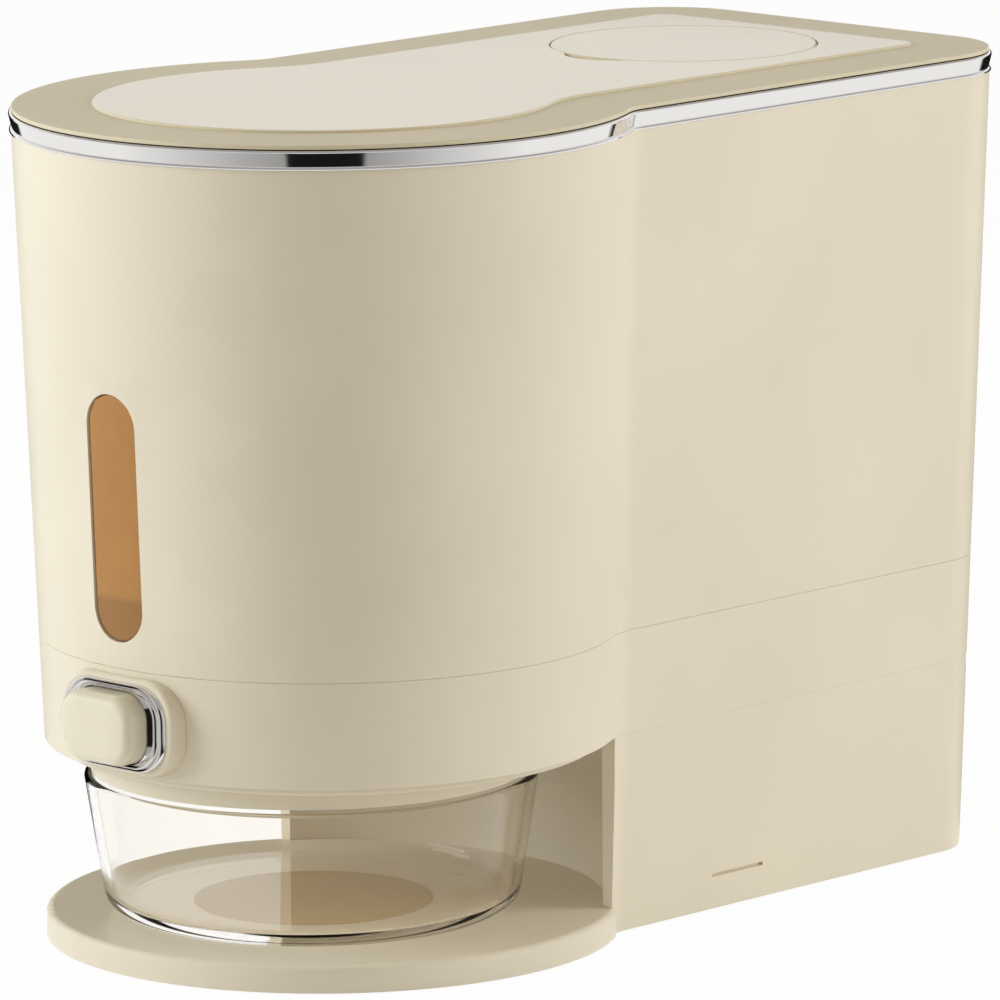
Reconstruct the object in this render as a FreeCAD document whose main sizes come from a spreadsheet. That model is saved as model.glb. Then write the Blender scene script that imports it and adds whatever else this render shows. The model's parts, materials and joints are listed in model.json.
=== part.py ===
"""Countertop rice dispenser: a keyhole-plan hopper housing over an open alcove that holds a glass bowl.

The front is a cylinder, the rear a rounded box, and both walls taper gently down to the base.
A sprung push button swings a shutter under the hopper's outlet, and the rice falls into the bowl.
Lengths are in millimetres. X is the width, the button faces -Y, and Z is up from the worktop.
Heights in the sheet are measured from the worktop, and plan places from the front cylinder's axis.
"""

import FreeCAD, Part
import math
import os

import Sketcher

V = FreeCAD.Vector
C = Sketcher.Constraint

doc = FreeCAD.newDocument("rice_dispenser")
sheet = doc.addObject("Spreadsheet::Sheet", "Sheet")

SIZES = [
    # The tapered outline, at the height where the walls begin
    ("front_radius", 81.0),
    ("half_width", 66.6),
    ("rear_reach", 213.0),
    ("rear_corner", 20.3),
    ("waist_radius", 25.0),
    ("wall_slope", 0.0376),
    # Heights of the housing's levels
    ("foot_lift", 0.6),
    ("disc_top", 8.6),
    ("band_low", 59.2),
    ("band_height", 30.9),
    ("trim_height", 5.5),
    ("trim_top", 242.0),
    # Housing walls and joints
    ("wall", 2.4),
    ("lap_height", 3.0),
    ("lap_clear", 0.1),
    ("ceiling_thick", 2.5),
    ("neck_inset", 1.3),
    ("neck_drop", 1.6),
    ("seat_clear", 0.1),
    ("trim_proud", 0.5),
    ("trim_round", 0.6),
    # Alcove and base
    ("alcove_inset", 1.8),
    ("alcove_edge", 46.0),
    ("alcove_wall", 2.4),
    ("slot_front", 90.0),
    ("slot_length", 22.0),
    ("slot_height", 10.2),
    ("slot_width", 1.0),
    ("slot_depth", 1.0),
    ("deck_margin", 14.0),
    ("disc_proud", 2.5),
    ("disc_round", 2.0),
    ("base_clear", 0.3),
    ("mat_radius", 34.7),
    ("mat_thick", 1.4),
    ("mat_proud", 0.2),
    # Rubber feet
    ("foot_radius", 7.0),
    ("foot_sunk", 1.0),
    ("foot_side", 46.0),
    ("foot_inset", 25.0),
    ("foot_middle", 84.0),
    ("foot_front", 58.0),
    # Glass bowl, about its own upright axis
    ("bowl_setting", 8.3),
    ("bowl_margin", 12.9),
    ("bowl_flare", 6.6),
    ("bowl_corner", 7.0),
    ("bowl_wall", 2.6),
    ("bowl_floor", 3.6),
    ("bowl_gap", 0.1),
    ("bowl_lip", 1.2),
    ("rim_clear", 1.0),
    # Cover and collar under the band
    ("cover_clear", 0.3),
    ("cover_thick", 2.6),
    ("collar_inset", 2.3),
    ("collar_wall", 2.4),
    ("collar_drop", 5.9),
    ("collar_seat", 1.0),
    # Hopper
    ("hopper_inset", 4.2),
    ("hopper_wall", 1.6),
    ("hopper_floor", 2.2),
    ("hopper_rise", 20.8),
    ("flange_thick", 1.3),
    ("funnel_half", 20.0),
    ("funnel_front", 20.0),
    ("funnel_rear", 20.0),
    ("side_run", 1.0),
    ("front_run", 1.42),
    ("rear_run", 2.75),
    ("spout_radius", 17.0),
    ("outlet_radius", 14.0),
    ("seal_thick", 1.5),
    # Gate under the spout
    ("gate_plate", 2.0),
    ("chute_wall", 2.0),
    ("shutter_radius", 17.5),
    ("shutter_thick", 2.0),
    ("shutter_clear", 0.4),
    ("spout_drop", 6.0),
    ("gate_margin", 12.0),
    ("shutter_arm", 51.0),
    ("arm_width", 10.0),
    ("hub_radius", 7.0),
    ("post_radius", 5.0),
    ("pivot_radius", 3.0),
    ("pivot_head", 5.0),
    ("pivot_screw_length", 8.0),
    ("pivot_clear", 0.05),
    ("crank_reach", 13.0),
    ("crank_pin", 2.0),
    ("crank_boss", 4.5),
    ("crank_clear", 0.3),
    ("press_travel", 8.0),
    # Push button
    ("button_drop", 0.25),
    ("cap_proud", 9.7),
    ("cap_width", 28.6),
    ("cap_height", 20.4),
    ("cap_corner", 7.5),
    ("cap_round", 2.6),
    ("cap_wall", 1.8),
    ("cap_stop", 0.4),
    ("cap_clear", 0.4),
    ("boss_width", 45.8),
    ("boss_margin", 1.45),
    ("boss_corner", 11.5),
    ("boss_proud", 5.3),
    ("boss_round", 1.6),
    ("boss_wall", 1.8),
    ("boss_depth", 12.3),
    ("bezel_width", 41.0),
    ("bezel_height", 25.4),
    ("bezel_corner", 10.2),
    ("bezel_thick", 1.8),
    ("bezel_bead", 1.5),
    ("bezel_groove", 1.0),
    ("bezel_groove_depth", 0.8),
    ("bezel_round", 0.6),
    ("stem_radius", 4.0),
    ("stem_clear", 0.3),
    ("cut_past", 20.0),
    ("guide_wall", 2.0),
    ("guide_length", 12.0),
    ("spring_wire", 0.9),
    ("spring_radius", 6.2),
    ("spring_turns", 5.0),
    ("pusher_gap", 6.0),
    ("pusher_tab", 4.0),
    ("pusher_thick", 2.0),
    ("pusher_lift", 1.0),
    ("yoke_width", 10.0),
    ("yoke_depth", 8.0),
    # Window
    ("window_width", 19.4),
    ("window_height", 71.6),
    ("window_rise", 7.7),
    ("lens_clear", 0.15),
    ("lens_sunk", 0.6),
    ("lens_lip", 2.4),
    ("lens_lip_thick", 1.1),
    # Lid
    ("lid_gap", 0.3),
    ("lid_edge", 1.2),
    ("lid_inset", 0.4),
    ("panel_round", 0.5),
    ("lid_crown", 0.1),
    ("rim_width", 23.5),
    ("panel_rise", 0.8),
    ("liner_inset", 7.0),
    ("liner_wall", 1.8),
    ("liner_depth", 9.0),
    ("liner_plate", 1.5),
    ("seal_clear", 0.3),
    ("seal_height", 2.4),
    ("seal_sunk", 0.5),
    ("cap_inset", 61.5),
    ("disc_cap_radius", 39.8),
    ("disc_cap_thick", 1.2),
    ("disc_cap_clear", 0.3),
    ("cup_radius", 30.0),
    ("cup_wall", 1.6),
    ("cup_depth", 20.0),
    ("cup_flange_width", 4.0),
    ("cup_clear", 0.3),
    ("notch_radius", 16.0),
    ("notch_reach", 4.6),
    ("notch_depth", 1.6),
    # Screws
    ("screw_radius", 1.5),
    ("screw_head", 2.8),
    ("screw_head_thick", 1.6),
    ("screw_clear", 0.1),
    ("screw_boss", 9.0),
    ("screw_boss_height", 22.0),
    ("base_screw_side", 33.3),
    ("base_screw_front", 25.0),
    ("base_screw_length", 18.0),
    ("cover_screw_inset", 7.7),
    ("cover_screw_length", 4.6),
    ("gate_screw_length", 4.0),
]

# Heights and places that follow from the sizes; any expression may use these words too
DERIVED = {
    "seam_height": "band_low + band_height",
    "trim_low": "trim_top - trim_height",
    "alcove_radius": "front_radius - alcove_inset",
    "disc_radius": "front_radius + disc_proud",
    "foot_rear": "rear_reach - foot_inset",
    "hopper_low": "band_low + hopper_rise",
    "button_height": "band_low + band_height / 2 - button_drop",
    "boss_height": "band_height - 2 * boss_margin",
    "boss_face": "front_radius + boss_proud",
    "boss_back": "boss_face - boss_depth",
    "button_opening_depth": "front_radius / 2",
    "button_reach": "boss_face + cap_proud",
    "cap_skirt": "button_reach - boss_back - press_travel - cap_stop",
    "pusher_back": "boss_back - guide_wall - guide_length - pusher_gap - pusher_tab",
    "window_centre": "seam_height + window_rise + window_height / 2",
    "cap_setting": "rear_reach - cap_inset",
    "cover_screw_ring": "alcove_radius - cover_screw_inset",
    "bowl_rim_radius": "alcove_radius - bowl_margin",
    "bowl_foot_radius": "bowl_rim_radius - bowl_flare",
    "collar_radius": "bowl_rim_radius - collar_inset",
}

for row, (alias, number) in enumerate(SIZES, start=1):
    sheet.set("A%d" % row, alias)
    sheet.set("B%d" % row, str(number))
    sheet.setAlias("B%d" % row, alias)
doc.recompute()


def full(expression):
    """Write an expression's derived words out, and each alias with the sheet's name before it."""
    aliases = {alias for alias, _ in SIZES}
    out, word = [], ""
    for letter in expression + " ":
        if letter.isalnum() or letter == "_":
            word += letter
            continue
        if word in DERIVED:
            word = "(" + full(DERIVED[word]) + ")"
        elif word in aliases:
            word = "Sheet." + word
        out.append(word + letter)
        word = ""
    return "".join(out).strip()


def value(expression):
    """The number that an expression of the sheet's sizes gives now."""
    result = sheet.evalExpression(full(expression))
    return float(getattr(result, "Value", result))


def bind(item, path, expression):
    item.setExpression(path, full(expression))


# Expressions that several pieces share
GROWTH = "wall_slope * (({0}) - foot_lift)"
SETBACK = "0 - (rear_reach + " + GROWTH.format("trim_top") + " + trim_proud - button_reach) / 2"
CEILING = "band_low + ceiling_thick"
NECK_TOP = "trim_top - neck_drop"
BOWL_SEAT = "disc_top + mat_proud + bowl_gap"
COLLAR_LOW = "band_low - cover_thick - collar_drop"
BOWL_RIM = COLLAR_LOW + " - rim_clear"
COVER_LOW = "band_low - cover_thick"
LID_LOW = "trim_top + lid_gap"
RIM_TOP = LID_LOW + " + lid_edge"
PANEL_LOW = RIM_TOP + " + lid_crown"
PANEL_TOP = PANEL_LOW + " + panel_rise"
SHUTTER_TOP = "hopper_low - spout_drop"
SEAL_LOW = SHUTTER_TOP + " + shutter_clear"
SPOUT_LOW = SEAL_LOW + " + seal_thick"
SHUTTER_LOW = SHUTTER_TOP + " - shutter_thick"
CHUTE_TOP = SHUTTER_LOW + " - shutter_clear"
HALF_SWING = "asin(press_travel / (2 * crank_reach))"
GATE_TOP = CEILING + " + gate_plate"
YOKE_LOW = GATE_TOP + " + pusher_lift"
PIN_REST = "crank_reach * cos(" + HALF_SWING + ") - shutter_arm"
PIN_MIDDLE = "crank_reach - shutter_arm"
PIN_SETTING = "0 - bowl_setting - press_travel / 2"
CHUTE_OUTER = "outlet_radius + chute_wall"
CAP_LOW = PANEL_TOP + " - disc_cap_thick"
CUP_TOP = CAP_LOW + " - seat_clear"
LINER_LOW = LID_LOW + " - liner_depth"
SEAL_FOOT = LID_LOW + " - liner_depth / 2 - seal_height / 2"
MOUTH_TOP = NECK_TOP + " + flange_thick"
SCREW_HOLE = "screw_radius + screw_clear"
PARTS = []


def part(item, label):
    """Name a finished sub-part and stand it on the common origin."""
    item.Label = label
    bind(item, "Placement.Base.y", SETBACK)
    PARTS.append(item)
    return item


def new_body(name):
    return doc.addObject("PartDesign::Body", name)


def origin_plane(body, role):
    return [f for f in body.Origin.OriginFeatures if f.Role == role][0]


def new_sketch(body, name, role="XY_Plane", offset="0"):
    """A sketch on one of the body's own planes, moved along the plane's normal."""
    sketch = body.newObject("Sketcher::SketchObject", name)
    sketch.AttachmentSupport = [(origin_plane(body, role), "")]
    sketch.MapMode = "FlatFace"
    bind(sketch, "AttachmentOffset.Base.z", offset)
    return sketch


def named(sketch, name, constraint, expression):
    index = sketch.addConstraint(constraint)
    sketch.renameConstraint(index, name)
    bind(sketch, "Constraints." + name, expression)


def arc(x, y, radius, start, end):
    return Part.ArcOfCircle(Part.Circle(V(x, y, 0), V(0, 0, 1), radius), start, end)


def line(x0, y0, x1, y1):
    return Part.LineSegment(V(x0, y0, 0), V(x1, y1, 0))


def keyhole(body, name, height, inset="0"):
    """The housing's outline at one height: front circle, concave waists and rear rounded box."""
    growth = GROWTH.format(height) + " - (" + inset + ")"
    front, side, reach = ("%s + %s" % (base, growth) for base in ("front_radius", "half_width", "rear_reach"))
    corner, waist = "rear_corner + " + growth, "waist_radius - (" + growth + ")"
    r, w, reach_now, rc, rf = (value(e) for e in (front, side, reach, corner, waist))
    y_waist = math.sqrt((r + rf) ** 2 - (w + rf) ** 2)
    turn = math.atan2(y_waist, w + rf)
    sketch = new_sketch(body, name, offset=height)
    shapes = [
        arc(0, 0, r, math.pi - turn, 2 * math.pi + turn),
        arc(w + rf, y_waist, rf, math.pi, math.pi + turn),
        line(w, y_waist, w, reach_now - rc),
        arc(w - rc, reach_now - rc, rc, 0, math.pi / 2),
        line(w - rc, reach_now, rc - w, reach_now),
        arc(rc - w, reach_now - rc, rc, math.pi / 2, math.pi),
        line(-w, reach_now - rc, -w, y_waist),
        arc(-w - rf, y_waist, rf, -turn, 0),
    ]
    f, rw, r_wall, rcn, rear, lcn, l_wall, lw = (sketch.addGeometry(s) for s in shapes)
    for a, end_a, b, end_b in ((f, 2, rw, 2), (rw, 1, r_wall, 1), (r_wall, 2, rcn, 1), (rcn, 2, rear, 1),
                               (rear, 2, lcn, 1), (lcn, 2, l_wall, 1), (l_wall, 2, lw, 2), (lw, 1, f, 1)):
        sketch.addConstraint(C("Tangent", a, end_a, b, end_b))
    sketch.addConstraint(C("Coincident", f, 3, -1, 1))
    sketch.addConstraint(C("Vertical", r_wall))
    sketch.addConstraint(C("Vertical", l_wall))
    sketch.addConstraint(C("Equal", rw, lw))
    sketch.addConstraint(C("Equal", rcn, lcn))
    sketch.addConstraint(C("Symmetric", rear, 1, rear, 2, -2))
    named(sketch, "front", C("Radius", f, r), front)
    named(sketch, "waist", C("Radius", rw, rf), waist)
    named(sketch, "corner", C("Radius", rcn, rc), corner)
    named(sketch, "side", C("DistanceX", -1, 1, r_wall, 1, w), side)
    named(sketch, "reach", C("DistanceY", -1, 1, rear, 1, reach_now), reach)
    return sketch


def circle(body, name, height, radius, setting="0", across="0", role="XY_Plane"):
    """A circle centred on the line x = across, at y = setting, or at z = setting on an upright plane."""
    sketch = new_sketch(body, name, role, height)
    x, y, r = value(across), value(setting), value(radius)
    ring = sketch.addGeometry(Part.Circle(V(x, y, 0), V(0, 0, 1), r))
    named(sketch, "radius", C("Radius", ring, r), radius)
    if x:
        named(sketch, "across", C("DistanceX", -1, 1, ring, 3, x), across)
    else:
        sketch.addConstraint(C("PointOnObject", ring, 3, -2))
    if y:
        named(sketch, "setting", C("DistanceY", -1, 1, ring, 3, y), setting)
    else:
        sketch.addConstraint(C("PointOnObject", ring, 3, -1))
    return sketch


def rounded(body, name, role, offset, width, height, corner, centre):
    """A rounded rectangle centred on x = 0 and on the given height of its plane."""
    sketch = new_sketch(body, name, role, offset)
    a, b, r, mid = value(width) / 2, value(height) / 2, value(corner), value(centre)
    quarter = math.pi / 2
    shapes = [
        line(r - a, mid - b, a - r, mid - b), arc(a - r, mid - b + r, r, -quarter, 0),
        line(a, mid - b + r, a, mid + b - r), arc(a - r, mid + b - r, r, 0, quarter),
        line(a - r, mid + b, r - a, mid + b), arc(r - a, mid + b - r, r, quarter, 2 * quarter),
        line(-a, mid + b - r, -a, mid - b + r), arc(r - a, mid - b + r, r, 2 * quarter, 3 * quarter),
    ]
    g = [sketch.addGeometry(s) for s in shapes]
    for i in range(8):
        sketch.addConstraint(C("Tangent", g[i], 2, g[(i + 1) % 8], 1))
    for i in (0, 4):
        sketch.addConstraint(C("Horizontal", g[i]))
    for i in (2, 6):
        sketch.addConstraint(C("Vertical", g[i]))
    for i in (3, 5, 7):
        sketch.addConstraint(C("Equal", g[1], g[i]))
    named(sketch, "corner", C("Radius", g[1], r), corner)
    named(sketch, "right", C("DistanceX", -1, 1, g[2], 1, a), "(%s) / 2" % width)
    named(sketch, "left", C("DistanceX", g[6], 1, -1, 1, a), "(%s) / 2" % width)
    named(sketch, "top", C("DistanceY", -1, 1, g[4], 1, mid + b), "(%s) + (%s) / 2" % (centre, height))
    named(sketch, "bottom", C("DistanceY", -1, 1, g[0], 1, mid - b), "(%s) - (%s) / 2" % (centre, height))
    return sketch


def stadium(body, name, offset, width, height, centre):
    """An upright slot outline with full round ends, on the body's front plane."""
    sketch = new_sketch(body, name, "XZ_Plane", offset)
    r, b, mid = value(width) / 2, value(height) / 2, value(centre)
    shapes = [
        line(r, mid - b + r, r, mid + b - r), arc(0, mid + b - r, r, 0, math.pi),
        line(-r, mid + b - r, -r, mid - b + r), arc(0, mid - b + r, r, math.pi, 2 * math.pi),
    ]
    g = [sketch.addGeometry(s) for s in shapes]
    for i in range(4):
        sketch.addConstraint(C("Tangent", g[i], 2, g[(i + 1) % 4], 1))
    sketch.addConstraint(C("Equal", g[1], g[3]))
    sketch.addConstraint(C("PointOnObject", g[1], 3, -2))
    sketch.addConstraint(C("PointOnObject", g[3], 3, -2))
    named(sketch, "round", C("Radius", g[1], r), "(%s) / 2" % width)
    reach = "((%s) - (%s)) / 2" % (height, width)
    named(sketch, "top", C("DistanceY", -1, 1, g[1], 3, mid + b - r), "(%s) + %s" % (centre, reach))
    named(sketch, "bottom", C("DistanceY", -1, 1, g[3], 3, mid - b + r), "(%s) - %s" % (centre, reach))
    return sketch


def rectangle(body, name, role, offset, left, right, low, high):
    """A rectangle between four bound lines of its plane."""
    sketch = new_sketch(body, name, role, offset)
    x0, x1, y0, y1 = (value(e) for e in (left, right, low, high))
    g = [sketch.addGeometry(s) for s in (line(x0, y0, x1, y0), line(x1, y0, x1, y1),
                                         line(x1, y1, x0, y1), line(x0, y1, x0, y0))]
    for i in range(4):
        sketch.addConstraint(C("Coincident", g[i], 2, g[(i + 1) % 4], 1))
    for i in (0, 2):
        sketch.addConstraint(C("Horizontal", g[i]))
        sketch.addConstraint(C("Vertical", g[i + 1]))
    named(sketch, "left", C("DistanceX", -1, 1, g[0], 1, x0), left)
    named(sketch, "right", C("DistanceX", -1, 1, g[1], 1, x1), right)
    named(sketch, "low", C("DistanceY", -1, 1, g[0], 1, y0), low)
    named(sketch, "high", C("DistanceY", -1, 1, g[2], 1, y1), high)
    return sketch


def feature(body, kind, sketch, length, taper=0, back=False):
    """A pad or pocket of a sketch; taper 1 widens it with the walls' slope, and -1 narrows it."""
    item = body.newObject("PartDesign::" + kind, sketch.Name + "_" + kind.lower())
    item.Profile = sketch
    item.Reversed = back
    bind(item, "Length", length)
    if taper:
        bind(item, "TaperAngle", "%d * atan(wall_slope)" % taper)
    sketch.Visibility = False
    doc.recompute()
    return item


def pad(body, sketch, length, taper=0, back=False):
    return feature(body, "Pad", sketch, length, taper, back)


def pocket(body, sketch, length, taper=0, back=False):
    """A cut from a sketch, into the side that its plane's normal leaves, or along it with back."""
    return feature(body, "Pocket", sketch, length, taper, back)


def fillet(body, radius, chosen):
    """Round the edges of the body's tip that a test picks."""
    base = body.Tip
    names = ["Edge%d" % (i + 1) for i, edge in enumerate(base.Shape.Edges) if chosen(edge)]
    item = body.newObject("PartDesign::Fillet", base.Name + "_round")
    item.Base = (base, names)
    bind(item, "Radius", radius)
    doc.recompute()
    return item


def at_level(axis, level, outside=None):
    """A test for edges that lie flat at one level of an axis, and, if given, outside a radius."""
    def test(edge):
        points = [getattr(p, axis) for p in edge.discretize(5)]
        if max(abs(p - level) for p in points) > 1e-4:
            return False
        return outside is None or max(math.hypot(p.x, p.y) for p in edge.discretize(5)) > outside
    return test


def primitive(kind, name, **sizes):
    """A Part primitive whose properties are bound to expressions; x, y and z place it."""
    item = doc.addObject("Part::" + kind, name)
    for key, expression in sizes.items():
        path = {"x": "Placement.Base.x", "y": "Placement.Base.y", "z": "Placement.Base.z"}.get(key, key)
        bind(item, path, expression)
    return item


def cylinder(name, radius, height, x="0", y="0", z="0"):
    return primitive("Cylinder", name, Radius=radius, Height=height, x=x, y=y, z=z)


def bar(name, radius, length, x, y, z):
    """A round bar that runs from (x, y, z) along +Y."""
    item = cylinder(name, radius, length, x, y, z)
    item.Placement.Rotation = FreeCAD.Rotation(V(1, 0, 0), -90)
    return item


def box(name, length, width, height, x="0", y="0", z="0"):
    return primitive("Box", name, Length=length, Width=width, Height=height, x=x, y=y, z=z)


def fuse(name, items):
    item = doc.addObject("Part::MultiFuse", name)
    item.Shapes = items
    return item


def cut(name, base, tool):
    item = doc.addObject("Part::Cut", name)
    item.Base, item.Tool = base, tool
    return item


def common(name, base, tool):
    item = doc.addObject("Part::MultiCommon", name)
    item.Shapes = [base, tool]
    return item


def ring(name, outer, inner, height, x="0", y="0", z="0"):
    return cut(name, cylinder(name + "_outer", outer, height, x, y, z),
               cylinder(name + "_inner", inner, height, x, y, z))


def front_cone(name, inset, low, high):
    """The front cylinder's tapered surface, set in by a distance, as a solid between two heights."""
    edge = "front_radius + " + GROWTH + " - (" + inset + ")"
    return primitive("Cone", name, Radius1=edge.format(low), Radius2=edge.format(high),
                     Height="(%s) - (%s)" % (high, low), z=low)


def keyhole_solid(name, low, high, inset):
    body = new_body(name)
    pad(body, keyhole(body, name + "_outline", low, inset), "(%s) - (%s)" % (high, low), 1)
    return body


def funnel_wedge(name, lift):
    """A four-sided funnel that opens upwards from the outlet, raised by a distance."""
    item = doc.addObject("Part::Wedge", name)
    rise = "(trim_top - hopper_low + hopper_floor)"
    for path, expression in (
            ("Xmin", "0 - funnel_half"), ("Xmax", "funnel_half"),
            ("X2min", "0 - funnel_half - side_run * " + rise), ("X2max", "funnel_half + side_run * " + rise),
            ("Ymin", "0"), ("Ymax", rise),
            ("Zmin", "bowl_setting - funnel_rear"), ("Zmax", "bowl_setting + funnel_front"),
            ("Z2min", "bowl_setting - funnel_rear - rear_run * " + rise),
            ("Z2max", "bowl_setting + funnel_front + front_run * " + rise)):
        bind(item, path, expression)
    item.Placement.Rotation = FreeCAD.Rotation(V(1, 0, 0), 90)
    bind(item, "Placement.Base.z", "hopper_low - hopper_floor + " + lift)
    return item


FEET = [
    ("foot_rear_right", "foot_side", "foot_rear"),
    ("foot_rear_left", "0 - foot_side", "foot_rear"),
    ("foot_mid_right", "foot_side", "foot_middle"),
    ("foot_mid_left", "0 - foot_side", "foot_middle"),
    ("foot_front_right", "foot_side", "foot_side / 2 - foot_front"),
    ("foot_front_left", "0 - foot_side", "foot_side / 2 - foot_front"),
]
REAR_SCREW = "rear_reach - wall - screw_boss / 2"
FRONT_SCREW = "alcove_radius + screw_boss / 2"
BASE_SCREWS = [
    ("base_screw_rear_right", "base_screw_side", REAR_SCREW),
    ("base_screw_rear_left", "0 - base_screw_side", REAR_SCREW),
    ("base_screw_front_right", "base_screw_front", FRONT_SCREW),
    ("base_screw_front_left", "0 - base_screw_front", FRONT_SCREW),
]
COVER_SCREWS = [
    ("cover_screw_right", "cover_screw_ring", "0"),
    ("cover_screw_left", "0 - cover_screw_ring", "0"),
    ("cover_screw_rear", "0", "cover_screw_ring"),
]
GATE_LEFT, GATE_RIGHT = "0 - shutter_arm - gate_margin", CHUTE_OUTER + " + gate_margin"
GATE_FRONT, GATE_REAR = "0 - bowl_setting - (%s)" % GATE_RIGHT, GATE_RIGHT + " - bowl_setting"
GATE_SCREWS = [
    ("gate_screw_front_left", GATE_LEFT + " + gate_margin / 2", GATE_FRONT + " + gate_margin / 2"),
    ("gate_screw_front_right", GATE_RIGHT + " - gate_margin / 2", GATE_FRONT + " + gate_margin / 2"),
    ("gate_screw_rear_left", GATE_LEFT + " + gate_margin / 2", GATE_REAR + " - gate_margin / 2"),
    ("gate_screw_rear_right", GATE_RIGHT + " - gate_margin / 2", GATE_REAR + " - gate_margin / 2"),
]


def compound(name, items):
    item = doc.addObject("Part::Compound", name)
    item.Links = items
    return item


def cut_all(name, base, tools):
    return cut(name, base, fuse(name + "_cuts", tools))


def screw(name, x, y, head_low, shank_low, length):
    return fuse(name, [cylinder(name + "_head", "screw_head", "screw_head_thick", x, y, head_low),
                       cylinder(name + "_shank", "screw_radius", length, x, y, shank_low)])


def outer_wire_round(body, radius, level):
    """Round the outer edge of the flat face at one height."""
    tip = body.Tip
    faces = [f for f in tip.Shape.Faces if abs(f.BoundBox.ZMin - level) + abs(f.BoundBox.ZMax - level) < 1e-4]
    wire = max(faces, key=lambda f: f.BoundBox.DiagonalLength).OuterWire
    fillet(body, radius, lambda edge: any(edge.isSame(e) for e in wire.Edges))


# Lower shell: band, deck, alcove walls and rear box in one moulding
def make_lower_shell():
    skin = new_body("lower_skin")
    pad(skin, keyhole(skin, "lower_outline", "foot_lift"), "seam_height - foot_lift", 1)
    pad(skin, keyhole(skin, "lap_outline", "seam_height", "wall / 2 + lap_clear"), "lap_height", 1)
    depth = "seam_height + lap_height - (%s)" % CEILING
    pocket(skin, keyhole(skin, "band_hollow", "seam_height + lap_height", "wall"), depth, -1)
    pocket(skin, keyhole(skin, "lower_hollow", "foot_lift", "wall"), "band_low - foot_lift", 1, back=True)
    back = ring("alcove_ring", "alcove_radius + alcove_wall", "alcove_radius", CEILING + " - disc_top",
                z="disc_top")
    back = common("alcove_back", back, keyhole_solid("alcove_limit", "foot_lift", CEILING, "wall / 2"))
    bosses = []
    for name, x, y in BASE_SCREWS:
        low = "alcove_radius - wall" if y == FRONT_SCREW else "rear_reach - wall - screw_boss"
        bosses.append(box(name + "_boss", "screw_boss", "screw_boss + wall", "screw_boss_height",
                          x + " - screw_boss / 2", low, "disc_top"))
    solid = fuse("lower_solid", [skin, back] + bosses)
    span = "(front_radius + half_width)"
    deck_low = "alcove_radius + alcove_wall + deck_margin"
    cuts = [
        box("alcove_mouth", "2 * " + span, span + " + alcove_edge", "band_low - foot_lift",
            "0 - " + span, "0 - " + span, "foot_lift"),
        box("deck_opening", "2 * (half_width - deck_margin)", "rear_reach - deck_margin - (%s)" % deck_low,
            "2 * ceiling_thick", "deck_margin - half_width", deck_low, "band_low - ceiling_thick / 2"),
        cylinder("outlet_hole", CHUTE_OUTER + " + lap_clear", "2 * ceiling_thick", "0", "0 - bowl_setting",
                 "band_low - ceiling_thick / 2"),
        box("side_slot", "slot_depth + wall", "slot_length", "slot_width",
            "half_width + " + GROWTH.format("slot_height") + " - slot_depth", "slot_front", "slot_height"),
        rounded_bar("button_opening", "front_radius", "button_opening_depth",
                    "cap_clear + boss_wall + seat_clear"),
    ]
    for name, x, y in BASE_SCREWS:
        cuts.append(cylinder(name + "_bore", SCREW_HOLE, "base_screw_length", x, y, "foot_lift + screw_clear"))
    for name, x, y in COVER_SCREWS:
        low = COVER_LOW + " + screw_clear"
        cuts.append(cylinder(name + "_bore", SCREW_HOLE, "cover_screw_length", x, y, low))
    for name, x, y in GATE_SCREWS:
        low = GATE_TOP + " - gate_screw_length"
        cuts.append(cylinder(name + "_bore", SCREW_HOLE, "gate_screw_length", x, y, low))
    part(cut_all("lower_shell", solid, cuts), "lower_shell")


def rounded_bar(name, near, far, growth):
    """A bar with the cap's rounded section, grown all round, from past y = -near back to y = -far."""
    body = new_body(name)
    outline = rounded(body, name + "_outline", "XZ_Plane", near + " + cut_past",
                      "cap_width + 2 * (%s)" % growth, "cap_height + 2 * (%s)" % growth,
                      "cap_corner + " + growth, "button_height")
    pad(body, outline, "%s + cut_past - (%s)" % (near, far), back=True)
    return body


# Upper shell: the tapered skin round the hopper, with a neck for the trim and a window slot
def make_upper_shell():
    body = new_body("upper_shell")
    pad(body, keyhole(body, "upper_outline", "seam_height"), "trim_low - seam_height", 1)
    pad(body, keyhole(body, "neck_outline", "trim_low", "neck_inset"), "%s - trim_low" % NECK_TOP, 1)
    hollow = keyhole(body, "upper_hollow", "seam_height", "wall")
    pocket(body, hollow, "%s - seam_height" % NECK_TOP, 1, back=True)
    pocket(body, keyhole(body, "lap_rebate", "seam_height", "wall / 2"), "lap_height + lap_clear", 1, back=True)
    slot = stadium(body, "window_slot", "front_radius / 2", "window_width", "window_height", "window_centre")
    pocket(body, slot, "front_radius", back=True)
    part(body, "upper_shell")


def make_trim_band():
    body = new_body("trim_band")
    pad(body, keyhole(body, "trim_outline", "trim_low", "0 - trim_proud"), "trim_top - trim_low", 1)
    bore = keyhole(body, "trim_bore", "trim_low", "neck_inset - seat_clear")
    pocket(body, bore, "trim_top - trim_low", 1, back=True)
    for level in ("trim_low", "trim_top"):
        outer_wire_round(body, "trim_round", value(level))
    part(body, "trim_band")


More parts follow.
